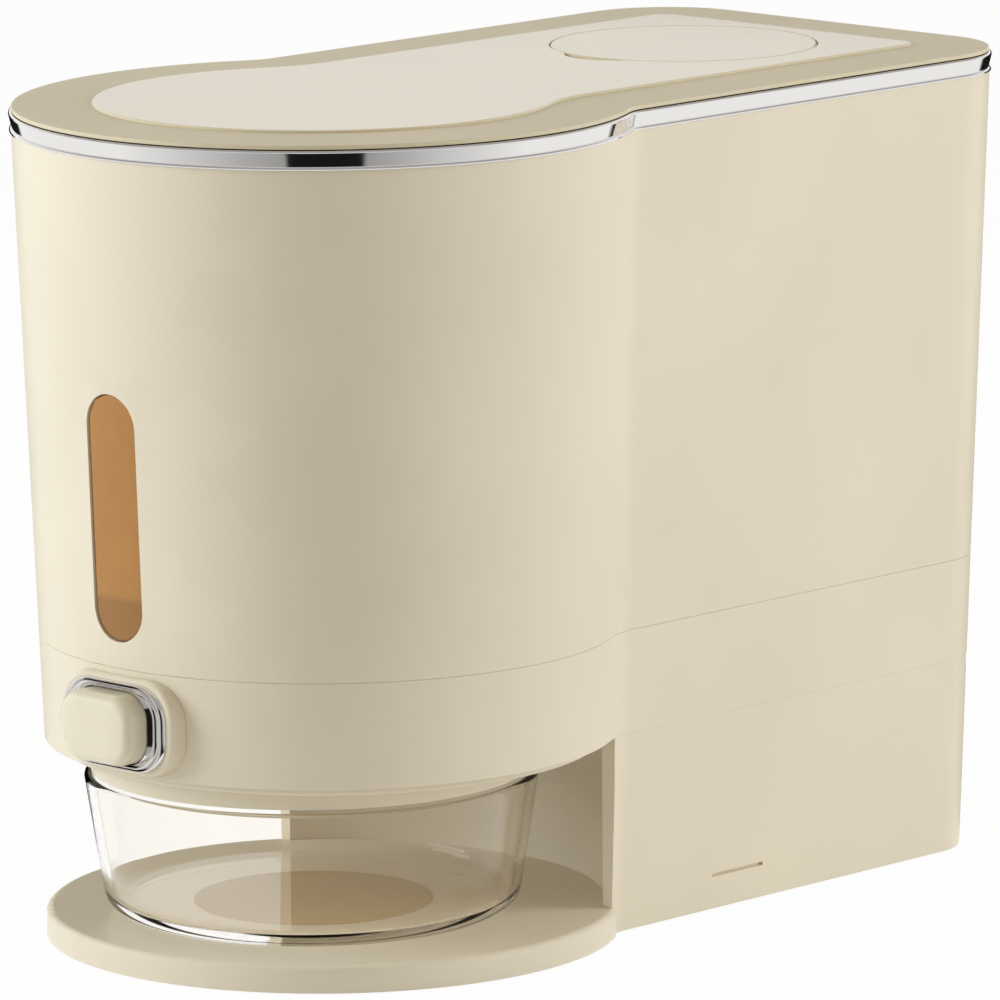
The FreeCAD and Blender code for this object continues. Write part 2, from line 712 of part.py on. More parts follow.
# Base: the round disc in front and the floor of the rear box, in one moulding
def make_base_plate():
    body = new_body("base_plate")
    pad(body, circle(body, "disc_outline", "foot_lift", "disc_radius"), "disc_top - foot_lift")
    fillet(body, "disc_round", at_level("z", value("disc_top")))
    pad(body, keyhole(body, "floor_outline", "foot_lift", "wall + base_clear"), "disc_top - foot_lift", 1)
    for side, left, right in (("left", "0 - front_radius - wall", "wall + base_clear - half_width"),
                              ("right", "half_width - wall - base_clear", "front_radius + wall")):
        slot = rectangle(body, side + "_wall_slot", "XY_Plane", "foot_lift", left, right,
                         "alcove_edge - base_clear", "disc_radius")
        pocket(body, slot, "disc_top - foot_lift", back=True)
    pocket(body, circle(body, "mat_recess", "disc_top", "mat_radius + seat_clear", "0 - bowl_setting"),
           "mat_thick - mat_proud")
    for name, x, y in FEET:
        pocket(body, circle(body, name + "_recess", "foot_lift", "foot_radius + seat_clear", y, x),
               "foot_sunk", back=True)
    for name, x, y in BASE_SCREWS:
        hole = circle(body, name + "_hole", "foot_lift", SCREW_HOLE, y, x)
        pocket(body, hole, "disc_top - foot_lift", back=True)
        pocket(body, circle(body, name + "_sink", "foot_lift", "screw_head + screw_clear", y, x),
               "screw_head_thick", back=True)
    part(body, "base_plate")


def make_base_fittings():
    pads = [cylinder(name, "foot_radius", "foot_lift + foot_sunk - seat_clear", x, y) for name, x, y in FEET]
    part(compound("feet_group", pads), "rubber_feet")
    screws = [screw(name, x, y, "foot_lift", "foot_lift", "base_screw_length") for name, x, y in BASE_SCREWS]
    part(compound("base_screw_group", screws), "base_screws")
    mat = cylinder("mat_disc", "mat_radius", "mat_thick", "0", "0 - bowl_setting",
                   "disc_top + mat_proud - mat_thick")
    part(compound("mat_group", [mat]), "bowl_mat")


# Cover and collar that close the band from below, round the outlet
def make_under_cover():
    plate = cylinder("cover_plate", "alcove_radius - cover_clear", "cover_thick", z=COVER_LOW)
    centre = "0 - bowl_setting"
    cuts = [
        cylinder("cover_bore", CHUTE_OUTER + " + lap_clear", "cover_thick", y=centre, z=COVER_LOW),
        ring("collar_groove", "collar_radius + seat_clear", "collar_radius - collar_wall - seat_clear",
             "collar_seat", y=centre, z=COVER_LOW),
    ]
    for name, x, y in COVER_SCREWS:
        cuts.append(cylinder(name + "_hole", SCREW_HOLE, "cover_thick", x, y, COVER_LOW))
        cuts.append(cylinder(name + "_sink", "screw_head + screw_clear", "screw_head_thick", x, y, COVER_LOW))
    part(cut_all("cover_disc", plate, cuts), "under_cover")
    screws = [screw(name, x, y, COVER_LOW, COVER_LOW, "cover_screw_length") for name, x, y in COVER_SCREWS]
    part(compound("cover_screw_group", screws), "under_cover_screws")
    collar = ring("collar_ring", "collar_radius", "collar_radius - collar_wall", "collar_drop + collar_seat",
                  y=centre, z=COLLAR_LOW)
    part(collar, "outlet_collar")


# Gate: a plate with the chute and the pivot post, screwed to the deck
def make_gate():
    centre, pivot = "0 - bowl_setting", "0 - shutter_arm"
    solid = fuse("gate_solid", [
        box("gate_sheet", "%s - (%s)" % (GATE_RIGHT, GATE_LEFT), "%s - (%s)" % (GATE_REAR, GATE_FRONT),
            "gate_plate", GATE_LEFT, GATE_FRONT, CEILING),
        cylinder("chute_tube", CHUTE_OUTER, "%s - (%s)" % (CHUTE_TOP, COVER_LOW), "0", centre, COVER_LOW),
        cylinder("pivot_post", "post_radius", "%s - (%s)" % (CHUTE_TOP, CEILING), pivot, centre, CEILING),
        cylinder("pivot_pin", "pivot_radius", "%s - (%s)" % (SEAL_LOW, CEILING), pivot, centre, CEILING),
    ])
    cuts = [
        cylinder("chute_bore", "outlet_radius", "%s - (%s)" % (CHUTE_TOP, COVER_LOW), "0", centre, COVER_LOW),
        cylinder("pivot_bore", SCREW_HOLE, "pivot_screw_length + screw_clear", pivot, centre,
                 SEAL_LOW + " - pivot_screw_length - screw_clear"),
    ]
    for name, x, y in GATE_SCREWS:
        cuts.append(cylinder(name + "_hole", SCREW_HOLE, "gate_plate", x, y, CEILING))
    part(cut_all("gate_moulding", solid, cuts), "gate_base")
    low, length = GATE_TOP + " - gate_screw_length", "gate_screw_length + screw_head_thick"
    screws = [screw(name, x, y, GATE_TOP, low, length) for name, x, y in GATE_SCREWS]
    part(compound("gate_screw_group", screws), "gate_screws")
    keeper = fuse("pivot_keeper", [
        cylinder("pivot_keeper_head", "pivot_head", "screw_head_thick", pivot, centre, SEAL_LOW),
        cylinder("pivot_keeper_shank", "screw_radius", "pivot_screw_length", pivot, centre,
                 SEAL_LOW + " - pivot_screw_length")])
    part(keeper, "pivot_screw")


# Shutter: a disc on an arm that swings about the post, with a crank pin below the arm
def make_shutter():
    centre, pivot = "0 - bowl_setting", "0 - shutter_arm"
    blade = fuse("shutter_solid", [
        cylinder("shutter_disc", "shutter_radius", "shutter_thick", "0", centre, SHUTTER_LOW),
        box("shutter_bar", "shutter_arm", "arm_width", "shutter_thick", pivot, centre + " - arm_width / 2",
            SHUTTER_LOW),
        cylinder("shutter_hub", "hub_radius", "shutter_thick", pivot, centre, SHUTTER_LOW),
        cylinder("crank_lug", "crank_boss", "shutter_thick", PIN_REST, PIN_SETTING, SHUTTER_LOW),
        cylinder("crank_peg", "crank_pin", "%s - (%s)" % (SHUTTER_TOP, YOKE_LOW), PIN_REST, PIN_SETTING,
                 YOKE_LOW),
    ])
    bore = cylinder("shutter_bore", "pivot_radius + pivot_clear", "shutter_thick", pivot, centre, SHUTTER_LOW)
    part(cut("shutter_blade", blade, bore), "shutter")


# Pusher: the button's stem, with a yoke below that takes the crank pin in a cross slot
def make_pusher():
    tab = "(pusher_back + pusher_tab)"
    yoke_left = "(%s + %s) / 2 - yoke_width / 2" % (PIN_REST, PIN_MIDDLE)
    yoke_rear = PIN_SETTING + " + yoke_width / 2"
    slot_half = "(crank_pin + crank_clear)"
    solid = fuse("pusher_solid", [
        bar("pusher_stem", "stem_radius", "button_reach - cap_wall - pusher_back", "0",
            "cap_wall - button_reach", "button_height"),
        box("pusher_post", "2 * stem_radius", "pusher_tab", "button_height - (%s)" % YOKE_LOW,
            "0 - stem_radius", "0 - " + tab, YOKE_LOW),
        box("pusher_cross", "stem_radius - (%s)" % yoke_left, "yoke_depth", "pusher_thick",
            yoke_left, "0 - pusher_back - yoke_depth", YOKE_LOW),
        box("pusher_yoke", "yoke_width", "%s + pusher_back + yoke_depth" % yoke_rear, "pusher_thick",
            yoke_left, "0 - pusher_back - yoke_depth", YOKE_LOW),
    ])
    slot = box("yoke_slot", "%s - (%s) + 2 * %s" % (PIN_MIDDLE, PIN_REST, slot_half), "2 * " + slot_half,
               "pusher_thick", "%s - %s" % (PIN_REST, slot_half), "%s - %s" % (PIN_SETTING, slot_half),
               YOKE_LOW)
    part(cut("pusher_moulding", solid, slot), "pusher")


# Button: a hollow cap in a plated bezel, on a boss with a guide tube for the stem
def make_button():
    cap = new_body("button_cap")
    section = ("cap_width", "cap_height", "cap_corner", "button_height")
    pad(cap, rounded(cap, "cap_outline", "XZ_Plane", "button_reach", *section), "cap_skirt", back=True)
    fillet(cap, "cap_round", at_level("y", -value("button_reach")))
    hollow = rounded(cap, "cap_hollow", "XZ_Plane", "button_reach - cap_skirt", "cap_width - 2 * cap_wall",
                     "cap_height - 2 * cap_wall", "cap_corner - cap_wall", "button_height")
    pocket(cap, hollow, "cap_skirt - cap_wall", back=True)
    part(cap, "button_cap")

    block = new_body("boss_block")
    outline = rounded(block, "boss_outline", "XZ_Plane", "boss_face", "boss_width", "boss_height",
                      "boss_corner", "button_height")
    pad(block, outline, "boss_face - boss_back", back=True)
    fillet(block, "boss_round", at_level("y", -value("boss_face")))
    seated = cut("boss_seated", block, front_cone("boss_seat", "0 - seat_clear", "band_low", "seam_height"))
    plug = new_body("boss_plug")
    outline = rounded(plug, "plug_outline", "XZ_Plane", "boss_face", "cap_width + 2 * (cap_clear + boss_wall)",
                      "cap_height + 2 * (cap_clear + boss_wall)", "cap_corner + cap_clear + boss_wall",
                      "button_height")
    pad(plug, outline, "boss_face - boss_back + guide_wall", back=True)
    guide = bar("guide_tube", "stem_radius + stem_clear + guide_wall", "guide_wall + guide_length", "0",
                "0 - boss_back", "button_height")
    solid = fuse("boss_solid", [seated, plug, guide])
    cuts = [rounded_bar("cap_well", "boss_face", "boss_back", "cap_clear"),
            bar("guide_bore", "stem_radius + stem_clear", "guide_wall + guide_length", "0", "0 - boss_back",
                "button_height")]
    part(cut_all("boss_moulding", solid, cuts), "button_boss")

    frame = new_body("bezel_frame")
    outline = rounded(frame, "bezel_outline", "XZ_Plane", "boss_face", "bezel_width", "bezel_height",
                      "bezel_corner", "button_height")
    pad(frame, outline, "bezel_thick")
    outline = rounded(frame, "bezel_bore", "XZ_Plane", "boss_face", "cap_width + 2 * cap_clear",
                      "cap_height + 2 * cap_clear", "cap_corner + cap_clear", "button_height")
    pocket(frame, outline, "bezel_thick", back=True)
    fillet(frame, "bezel_round", at_level("y", -value("boss_face + bezel_thick")))
    groove = new_body("bezel_channel")
    depth = "boss_face + bezel_thick - bezel_groove_depth"
    for kind, name, inset in ((pad, "channel_outline", "bezel_bead"),
                              (pocket, "channel_core", "bezel_bead + bezel_groove")):
        outline = rounded(groove, name, "XZ_Plane", depth, "bezel_width - 2 * (%s)" % inset,
                          "bezel_height - 2 * (%s)" % inset, "bezel_corner - (%s)" % inset, "button_height")
        kind(groove, outline, "bezel_groove_depth", back=kind is pocket)
    part(cut("bezel_ring", frame, groove), "button_bezel")


# Return spring: a wire helix round the stem, between the cap and the boss
def make_spring():
    helix = doc.addObject("Part::Helix", "spring_line")
    room = "(button_reach - cap_wall - boss_back - 2 * spring_wire)"
    bind(helix, "Radius", "spring_radius")
    bind(helix, "Height", room)
    bind(helix, "Pitch", room + " / spring_turns")
    wire = doc.addObject("Part::Circle", "spring_section")
    bind(wire, "Radius", "spring_wire / 2")
    bind(wire, "Placement.Base.x", "spring_radius")
    wire.Placement.Rotation = FreeCAD.Rotation(V(1, 0, 0), 90)
    coil = doc.addObject("Part::Sweep", "spring_coil")
    coil.Sections = [wire]
    coil.Spine = (helix, ["Edge1"])
    coil.Solid, coil.Frenet = True, True
    holder = compound("spring_holder", [coil])
    holder.Placement.Rotation = FreeCAD.Rotation(V(1, 0, 0), -90)
    bind(holder, "Placement.Base.y", "cap_wall + spring_wire - button_reach")
    bind(holder, "Placement.Base.z", "button_height")
    part(compound("spring_group", [holder]), "return_spring")


# Window: a lens that fills the slot, with a lip behind the shell
def make_window():
    plug, lip = new_body("lens_plug"), new_body("lens_lip_bar")
    for body, growth in ((plug, "0 - lens_clear"), (lip, "lens_lip")):
        outline = stadium(body, body.Name + "_outline", "front_radius / 2", "window_width + 2 * (%s)" % growth,
                          "window_height + 2 * (%s)" % growth, "window_centre")
        pad(body, outline, "front_radius")
    layers = []
    for body, near, far in ((plug, "lens_sunk", "wall + seat_clear"),
                            (lip, "wall + seat_clear", "wall + seat_clear + lens_lip_thick")):
        zone = cut(body.Name + "_zone", front_cone(body.Name + "_near", near, "seam_height", "trim_low"),
                   front_cone(body.Name + "_far", far, "seam_height", "trim_low"))
        layers.append(common(body.Name + "_layer", body, zone))
    part(fuse("lens_solid", layers), "window_lens")


# Hopper: a funnel-floored bin that hangs by its flange on the upper shell's neck
def make_hopper():
    centre, floor = "0 - bowl_setting", "hopper_low - hopper_floor"
    outer = common("hopper_body", keyhole_solid("hopper_block", floor, MOUTH_TOP, "hopper_inset"),
                   funnel_wedge("hopper_funnel", "0"))
    inner = common("hopper_room", keyhole_solid("hopper_space", "hopper_low", MOUTH_TOP + " + flange_thick",
                                                "hopper_inset + hopper_wall"),
                   funnel_wedge("hopper_room_funnel", "hopper_floor"))
    flange = keyhole_solid("hopper_flange", NECK_TOP, MOUTH_TOP, "neck_inset + seat_clear")
    spout = cylinder("hopper_spout", "spout_radius", "hopper_low - (%s)" % SPOUT_LOW, "0", centre, SPOUT_LOW)
    solid = fuse("hopper_solid", [outer, flange, spout])
    bore = cylinder("hopper_outlet", "outlet_radius", "spout_drop", "0", centre, SPOUT_LOW)
    part(cut_all("hopper_bin", solid, [inner, bore]), "hopper")
    gasket = ring("hopper_gasket", "spout_radius", "outlet_radius", "seal_thick", "0", centre, SEAL_LOW)
    part(gasket, "hopper_seal")


# Lid: a cover with a sloped rim and a raised panel, over a liner that carries the seal
def make_lid():
    body = new_body("lid_cover")
    pad(body, keyhole(body, "lid_outline", LID_LOW, "lid_inset"), "lid_edge")
    crown = body.newObject("PartDesign::AdditiveLoft", "lid_slope")
    crown.Profile = keyhole(body, "rim_outline", RIM_TOP, "lid_inset")
    crown.Sections = [keyhole(body, "crease_outline", PANEL_LOW, "rim_width")]
    crown.Ruled = True
    doc.recompute()
    pad(body, keyhole(body, "panel_outline", PANEL_LOW, "rim_width"), "panel_rise")
    outer_wire_round(body, "panel_round", value(PANEL_TOP))
    for name, height, radius, depth in (
            ("cap_recess", PANEL_TOP, "disc_cap_radius + disc_cap_clear", "disc_cap_thick"),
            ("cup_hole", CAP_LOW, "cup_radius + cup_flange_width + cup_clear", CAP_LOW + " - (%s)" % LID_LOW)):
        pocket(body, circle(body, name, height, radius, "cap_setting"), depth)
    notch = "cap_setting - disc_cap_radius - notch_reach + notch_radius"
    pocket(body, circle(body, "finger_notch", PANEL_TOP, "notch_radius", notch), "notch_depth")
    part(body, "lid_cover")

    liner = new_body("liner_block")
    pad(liner, keyhole(liner, "liner_outline", LINER_LOW, "liner_inset"), "liner_depth", 1)
    hollow = keyhole(liner, "liner_hollow", LINER_LOW, "liner_inset + liner_wall")
    pocket(liner, hollow, "liner_depth - liner_plate", 1, back=True)
    hole = circle(liner, "liner_cup_hole", LID_LOW, "cup_radius + cup_clear", "cap_setting")
    pocket(liner, hole, "liner_plate")
    top = SEAL_FOOT + " + seal_height"
    core = keyhole_solid("seal_core", SEAL_FOOT, top, "liner_inset + seal_sunk")
    block = keyhole_solid("seal_groove_block", SEAL_FOOT, top, "liner_inset - seal_sunk")
    groove = cut("seal_groove", block, core)
    part(cut("liner_grooved", liner, groove), "lid_liner")
    band = keyhole_solid("seal_band", SEAL_FOOT, top, "hopper_inset + hopper_wall + seal_clear")
    bore = keyhole_solid("seal_bore", SEAL_FOOT, top, "liner_inset + seal_sunk")
    part(cut("seal_ring", band, bore), "lid_seal")


# Desiccant holder: a cup whose flange rests on the liner, under a flush round cap
def make_desiccant():
    cap = new_body("desiccant_cap")
    pad(cap, circle(cap, "cap_disc", CAP_LOW, "disc_cap_radius", "cap_setting"), "disc_cap_thick")
    fillet(cap, "panel_round", at_level("z", value(PANEL_TOP)))
    part(cap, "desiccant_cap")
    low = CUP_TOP + " - cup_depth"
    solid = fuse("cup_solid", [
        cylinder("cup_tube", "cup_radius", "cup_depth", "0", "cap_setting", low),
        cylinder("cup_rim", "cup_radius + cup_flange_width", "%s - (%s)" % (CUP_TOP, LID_LOW), "0",
                 "cap_setting", LID_LOW),
    ])
    room = cylinder("cup_room", "cup_radius - cup_wall", "cup_depth - cup_wall", "0", "cap_setting",
                    low + " + cup_wall")
    part(cut("cup_moulding", solid, room), "desiccant_cup")


# Glass bowl: a flared round bowl with a rounded heel and lip
def make_bowl():
    body = new_body("glass_bowl")
    rise = "(%s - (%s))" % (BOWL_RIM, BOWL_SEAT)
    flare = "bowl_flare / " + rise
    cone(body, "Additive", "bowl_outside", "bowl_foot_radius", "bowl_rim_radius", rise, BOWL_SEAT)
    fillet(body, "bowl_corner", at_level("z", value(BOWL_SEAT)))
    cone(body, "Subtractive", "bowl_inside", "bowl_foot_radius - bowl_wall + bowl_floor * " + flare,
         "bowl_rim_radius - bowl_wall", rise + " - bowl_floor", BOWL_SEAT + " + bowl_floor")
    fillet(body, "bowl_corner - bowl_wall", at_level("z", value(BOWL_SEAT + " + bowl_floor")))
    fillet(body, "bowl_lip", at_level("z", value(BOWL_RIM)))
    part(body, "glass_bowl")


def cone(body, kind, name, low_radius, high_radius, height, z):
    """Add or take away an upright cone on the bowl's own axis."""
    item = body.newObject("PartDesign::%sCone" % kind, name)
    for path, expression in (("Radius1", low_radius), ("Radius2", high_radius), ("Height", height),
                             ("Placement.Base.y", "0 - bowl_setting"), ("Placement.Base.z", z)):
        bind(item, path, expression)
    doc.recompute()
    return item


make_lower_shell()
make_upper_shell()
make_trim_band()
make_base_plate()
make_base_fittings()
make_under_cover()
make_gate()
make_shutter()
make_pusher()
make_button()
make_spring()
make_window()
make_hopper()
make_lid()
make_desiccant()
make_bowl()
doc.recompute()

failed = [item.Name for item in doc.Objects if {"Invalid", "Error"} & set(item.State)]
for item in PARTS:
    if item.Shape.isNull() or not item.Shape.isValid():
        failed.append(item.Label)
if failed:
    raise RuntimeError("Failed: " + ", ".join(failed))

os.makedirs("parts", exist_ok=True)
for item in PARTS:
    box_now = item.Shape.optimalBoundingBox()
    print("%-20s solids %d  volume %9.0f  z %.2f to %.2f" % (
        item.Label, len(item.Shape.Solids), item.Shape.Volume, box_now.ZMin, box_now.ZMax))
    item.Shape.exportStep("parts/%s.step" % item.Label)
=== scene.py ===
"""Rice dispenser: the visible surfaces, finishes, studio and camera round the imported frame.

Every piece is built in metres in the frame of the construction model, and rides on one of its bodies.
Shapes are skins over rings of points: keyhole outlines, rounded rectangles and circles.
"""

import json
import math

import bmesh
import bpy
from bpy.props import FloatProperty, PointerProperty, StringProperty
from mathutils import Matrix, Vector


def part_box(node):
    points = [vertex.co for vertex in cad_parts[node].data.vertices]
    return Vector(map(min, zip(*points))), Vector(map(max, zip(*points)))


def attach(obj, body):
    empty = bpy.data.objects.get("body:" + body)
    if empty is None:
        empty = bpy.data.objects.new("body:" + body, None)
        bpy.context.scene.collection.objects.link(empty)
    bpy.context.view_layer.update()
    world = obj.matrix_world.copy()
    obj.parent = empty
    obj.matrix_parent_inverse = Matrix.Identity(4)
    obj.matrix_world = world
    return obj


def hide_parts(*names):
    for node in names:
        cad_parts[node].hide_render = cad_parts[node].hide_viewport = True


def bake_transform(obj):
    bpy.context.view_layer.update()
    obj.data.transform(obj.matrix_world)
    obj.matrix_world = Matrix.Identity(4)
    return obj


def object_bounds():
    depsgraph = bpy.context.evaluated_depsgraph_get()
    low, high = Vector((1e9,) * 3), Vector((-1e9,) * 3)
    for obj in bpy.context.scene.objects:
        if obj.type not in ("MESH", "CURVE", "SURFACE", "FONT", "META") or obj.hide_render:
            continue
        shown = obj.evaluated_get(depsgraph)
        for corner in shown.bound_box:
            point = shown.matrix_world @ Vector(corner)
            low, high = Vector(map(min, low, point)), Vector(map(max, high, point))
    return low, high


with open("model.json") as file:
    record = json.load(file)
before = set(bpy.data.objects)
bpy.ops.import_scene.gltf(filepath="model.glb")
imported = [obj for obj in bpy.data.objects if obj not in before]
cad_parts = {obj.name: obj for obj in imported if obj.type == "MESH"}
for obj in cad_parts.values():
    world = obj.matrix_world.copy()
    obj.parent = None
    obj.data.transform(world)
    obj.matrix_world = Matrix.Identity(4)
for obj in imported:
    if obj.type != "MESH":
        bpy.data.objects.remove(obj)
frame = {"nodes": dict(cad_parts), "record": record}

CAD_LOW, CAD_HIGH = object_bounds()

bl_info = {
    "name": "Rice dispenser",
    "version": (1, 0, 0),
    "blender": (4, 5, 0),
    "location": "View3D > Sidebar > Dispenser",
    "description": "Builds the rice dispenser's visible surfaces, finishes and studio",
    "category": "Object",
}

MM = 0.001
DISC_LOW, DISC_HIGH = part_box("base_plate")
TRIM_LOW, TRIM_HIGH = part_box("trim_band")
LID_LOW, LID_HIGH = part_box("lid_cover")
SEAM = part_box("upper_shell")[0].z
COVER_LOW, BAND_LOW = (corner.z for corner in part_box("under_cover"))
# The window's colour is painted darker, as shade, where the funnel's foot comes up behind it
FUNNEL_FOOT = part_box("window_lens")[0].z + 15 * MM
BOWL_LOW, BOWL_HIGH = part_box("glass_bowl")
CAP_LOW, CAP_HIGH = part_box("button_cap")
BEZEL_LOW, BEZEL_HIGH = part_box("button_bezel")
SPRING_LOW, SPRING_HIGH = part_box("return_spring")
SPRING_TURNS = 5
FULL_TURN = 2 * math.pi
SHARP_EDGE = math.radians(35)
# The camera's direction from the object in plan, in degrees from +X towards +Y
CAMERA_SIDE = -46


def length(name, default_mm, text):
    """A length property whose default is given in millimetres."""
    return FloatProperty(name=name, description=text, default=default_mm * MM, unit="LENGTH", precision=5)


def colour(name, default, text):
    return StringProperty(name=name, description=text, default=default)


class DispenserSizes(bpy.types.PropertyGroup):
    """Sizes of the visible forms that the frame's boxes don't give by themselves."""
    front_radius: length("Front radius", 81.0, "Radius of the round front where the walls begin")
    half_width: length("Half width", 66.6, "Half the rear box's width where the walls begin")
    rear_reach: length("Rear reach", 213.0, "From the front's axis to the rear wall")
    rear_corner: length("Rear corner", 20.3, "Radius of the rear box's upright corners")
    waist: length("Waist radius", 25.0, "Radius of the hollow where front and box meet")
    wall_slope: FloatProperty(name="Wall slope", description="Outward lean of every wall", default=0.0376)
    wall_foot: length("Wall foot", 0.6, "Height where the walls begin")
    edge_round: length("Edge round", 0.35, "Radius of the moulded shells' edges")
    cover_round: length("Cover round", 1.0, "Radius of the cover's rims under the band")
    lid_round: length("Lid round", 0.3, "Radius of the lid's edges")
    trim_proud: length("Trim proud", 0.5, "How far the trim stands out from the wall")
    trim_inside: length("Trim inside", 1.2, "From the wall line in to the trim's back")
    trim_round: length("Trim round", 0.8, "Radius of the trim's long edges")
    panel_step: length("Panel step", 0.7, "Height of the lid's panel above its rim")
    bowl_wall: length("Bowl wall", 2.6, "Thickness of the glass wall")
    bowl_floor: length("Bowl floor", 3.6, "Thickness of the glass floor")
    bowl_corner: length("Bowl heel", 7.0, "Outer radius of the bowl's heel")
    bowl_foot: length("Bowl foot", 59.7, "Radius of the bowl's wall line at the floor")
    cap_round: length("Cap round", 3.2, "Radius of the button's front edge")
    cap_crown: length("Cap crown", 0.4, "Rise of the button's face")
    cap_wall: length("Cap wall", 1.8, "Thickness of the hollow button")
    cap_corner: length("Cap corner", 7.5, "Corner radius of the button")
    bezel_gap: length("Bezel gap", 0.4, "Clearance between the button and its bezel")
    spring_wire: length("Spring wire", 0.9, "Diameter of the return spring's wire")
    bezel_corner: length("Bezel corner", 10.2, "Outer corner radius of the bezel")


class DispenserColours(bpy.types.PropertyGroup):
    """Base colours, as sRGB hex values."""
    shell: colour("Shell", "#E4DAC6", "Cream of the moulded housing")
    lid: colour("Lid", "#DFD3B8", "Cream of the lid")
    button: colour("Button", "#E3DAC4", "Cream of the push button")
    liner: colour("Inner mouldings", "#E0D6C2", "Cream of the parts inside")
    window: colour("Window", "#B57C32", "Amber of the window and the hopper")
    plating: colour("Plating", "#E8E6E4", "Bright plated trim")
    glass: colour("Glass", "#FFFDF9", "Clear pressed glass")
    mat: colour("Mat", "#C4AB82", "Grey-brown bowl mat")
    rubber: colour("Rubber", "#B9B2A6", "Pale feet")
    silicone: colour("Silicone", "#EDEBE4", "Seals")
    steel: colour("Steel", "#B9BABB", "Spring and screws")
    backdrop: colour("Backdrop", "#FFFFFF", "Studio floor and backdrop")


def sizes():
    return bpy.context.scene.dispenser_sizes


def colours():
    return bpy.context.scene.dispenser_colours


# Materials

def linear(hex_text):
    """A #RRGGBB sRGB value as linear red, green and blue."""
    parts = [int(hex_text[i:i + 2], 16) / 255 for i in (1, 3, 5)]
    return [c / 12.92 if c <= 0.04045 else ((c + 0.055) / 1.055) ** 2.4 for c in parts]


def add_node(tree, kind, settings=None, **links):
    """Add a node; settings sets attributes and sockets, and links joins sockets to other nodes' outputs."""
    item = tree.nodes.new(kind)
    for key, value in (settings or {}).items():
        if hasattr(item, key):
            setattr(item, key, value)
        else:
            item.inputs[key].default_value = value
    for key, source in links.items():
        tree.links.new(source, item.inputs[key.replace("_", " ")])
    return item


def new_material(name):
    material = bpy.data.materials.new(name)
    material.use_nodes = True
    tree = material.node_tree
    shader = tree.nodes["Principled BSDF"]
    return material, tree, shader


def tinted(hex_text, share):
    """The same colour, lighter (above 1) or darker (below 1)."""
    return [min(1.0, c * share) for c in linear(hex_text)] + [1.0]


def moulded(name, hex_text, roughness, grain_mm, relief, mottle=0.03, coat=0.0):
    """Moulded plastic: an even colour with a breath of flow variation and a spark-eroded texture."""
    material, tree, shader = new_material(name)
    place = add_node(tree, "ShaderNodeTexCoord")
    flow = add_node(tree, "ShaderNodeTexNoise", {"Scale": 14.0, "Detail": 3.0, "Roughness": 0.5},
                    Vector=place.outputs["Object"])
    ramp = add_node(tree, "ShaderNodeValToRGB", None, Fac=flow.outputs["Fac"])
    ramp.color_ramp.elements[0].color = tinted(hex_text, 1 - mottle)
    ramp.color_ramp.elements[1].color = tinted(hex_text, 1 + mottle)
    ramp.color_ramp.elements[0].position, ramp.color_ramp.elements[1].position = 0.3, 0.7
    grain = add_node(tree, "ShaderNodeTexNoise", {"Scale": 1 / (grain_mm * MM), "Detail": 2.0},
                     Vector=place.outputs["Object"])
    gloss = add_node(tree, "ShaderNodeMapRange", {"To Min": roughness * 0.92, "To Max": roughness * 1.08},
                     Value=flow.outputs["Fac"])
    bump = add_node(tree, "ShaderNodeBump", {"Strength": relief, "Distance": grain_mm * MM * 0.2},
                    Height=grain.outputs["Fac"])
    tree.links.new(ramp.outputs["Color"], shader.inputs["Base Color"])
    tree.links.new(gloss.outputs["Result"], shader.inputs["Roughness"])
    tree.links.new(bump.outputs["Normal"], shader.inputs["Normal"])
    shader.inputs["IOR"].default_value = 1.53
    shader.inputs["Coat Weight"].default_value = coat
    shader.inputs["Coat Roughness"].default_value = 0.25
    return material


def make_materials():
    """Every finish by its record slot."""
    c = colours()
    made = {}
    # Injection-moulded ABS with a fine spark-eroded texture: a soft broad sheen that hides fingerprints
    made["cream_shell"] = moulded("moulded_abs_shell", c.shell, 0.42, 0.5, 0.06)
    made["cream_lid"] = lid_abs(c.lid)
    # The button is polished ABS: a tighter highlight on its rounded face
    made["cream_button"] = moulded("polished_abs_button", c.button, 0.24, 0.8, 0.03, coat=0.3)
    # Inner mouldings are matt polypropylene
    made["cream_liner"] = moulded("matt_polypropylene", c.liner, 0.55, 0.6, 0.08)
    made["collar_plastic"] = moulded("moulded_abs_collar", c.shell, 0.35, 0.5, 0.05)
    # Moulded silicone mat: matt, with a faint tooth
    made["mat_rubber"] = moulded("moulded_silicone_mat", c.mat, 0.6, 0.4, 0.15, mottle=0.05)
    made["soft_rubber"] = moulded("moulded_rubber", c.rubber, 0.7, 0.4, 0.2)
    made["silicone"] = moulded("moulded_silicone_seal", c.silicone, 0.45, 0.6, 0.05)
    made["amber_clear"] = amber_polystyrene(c.window)
    made["plated_trim"] = plated(c.plating)
    made["bowl_glass"] = pressed_glass(c.glass)
    made["spring_steel"] = drawn_steel("drawn_spring_steel", c.steel, 0.25)
    made["screw_steel"] = drawn_steel("zinc_plated_steel", c.steel, 0.35)
    return made


def height_mask(tree, low, high):
    """0 below one height and 1 above another, in the part's own frame."""
    place = add_node(tree, "ShaderNodeTexCoord")
    split = add_node(tree, "ShaderNodeSeparateXYZ", None, Vector=place.outputs["Object"])
    return add_node(tree, "ShaderNodeMapRange", {"From Min": low, "From Max": high}, Value=split.outputs["Z"])


def paint_shade_by_height(tree, mask, darkest):
    """Paint shade into the base colour: darken it by a share where a height mask is 0, and leave it where the
    mask is 1.
    """
    shader = tree.nodes["Principled BSDF"]
    tint = add_node(tree, "ShaderNodeMapRange", {"To Min": darkest, "To Max": 1.0},
                    Value=mask.outputs["Result"])
    source = shader.inputs["Base Color"].links[0].from_socket
    shade = add_node(tree, "ShaderNodeMixRGB", {"blend_type": "MULTIPLY", "Fac": 1.0},
                     Color1=source, Color2=tint.outputs["Result"])
    tree.links.new(shade.outputs["Color"], shader.inputs["Base Color"])


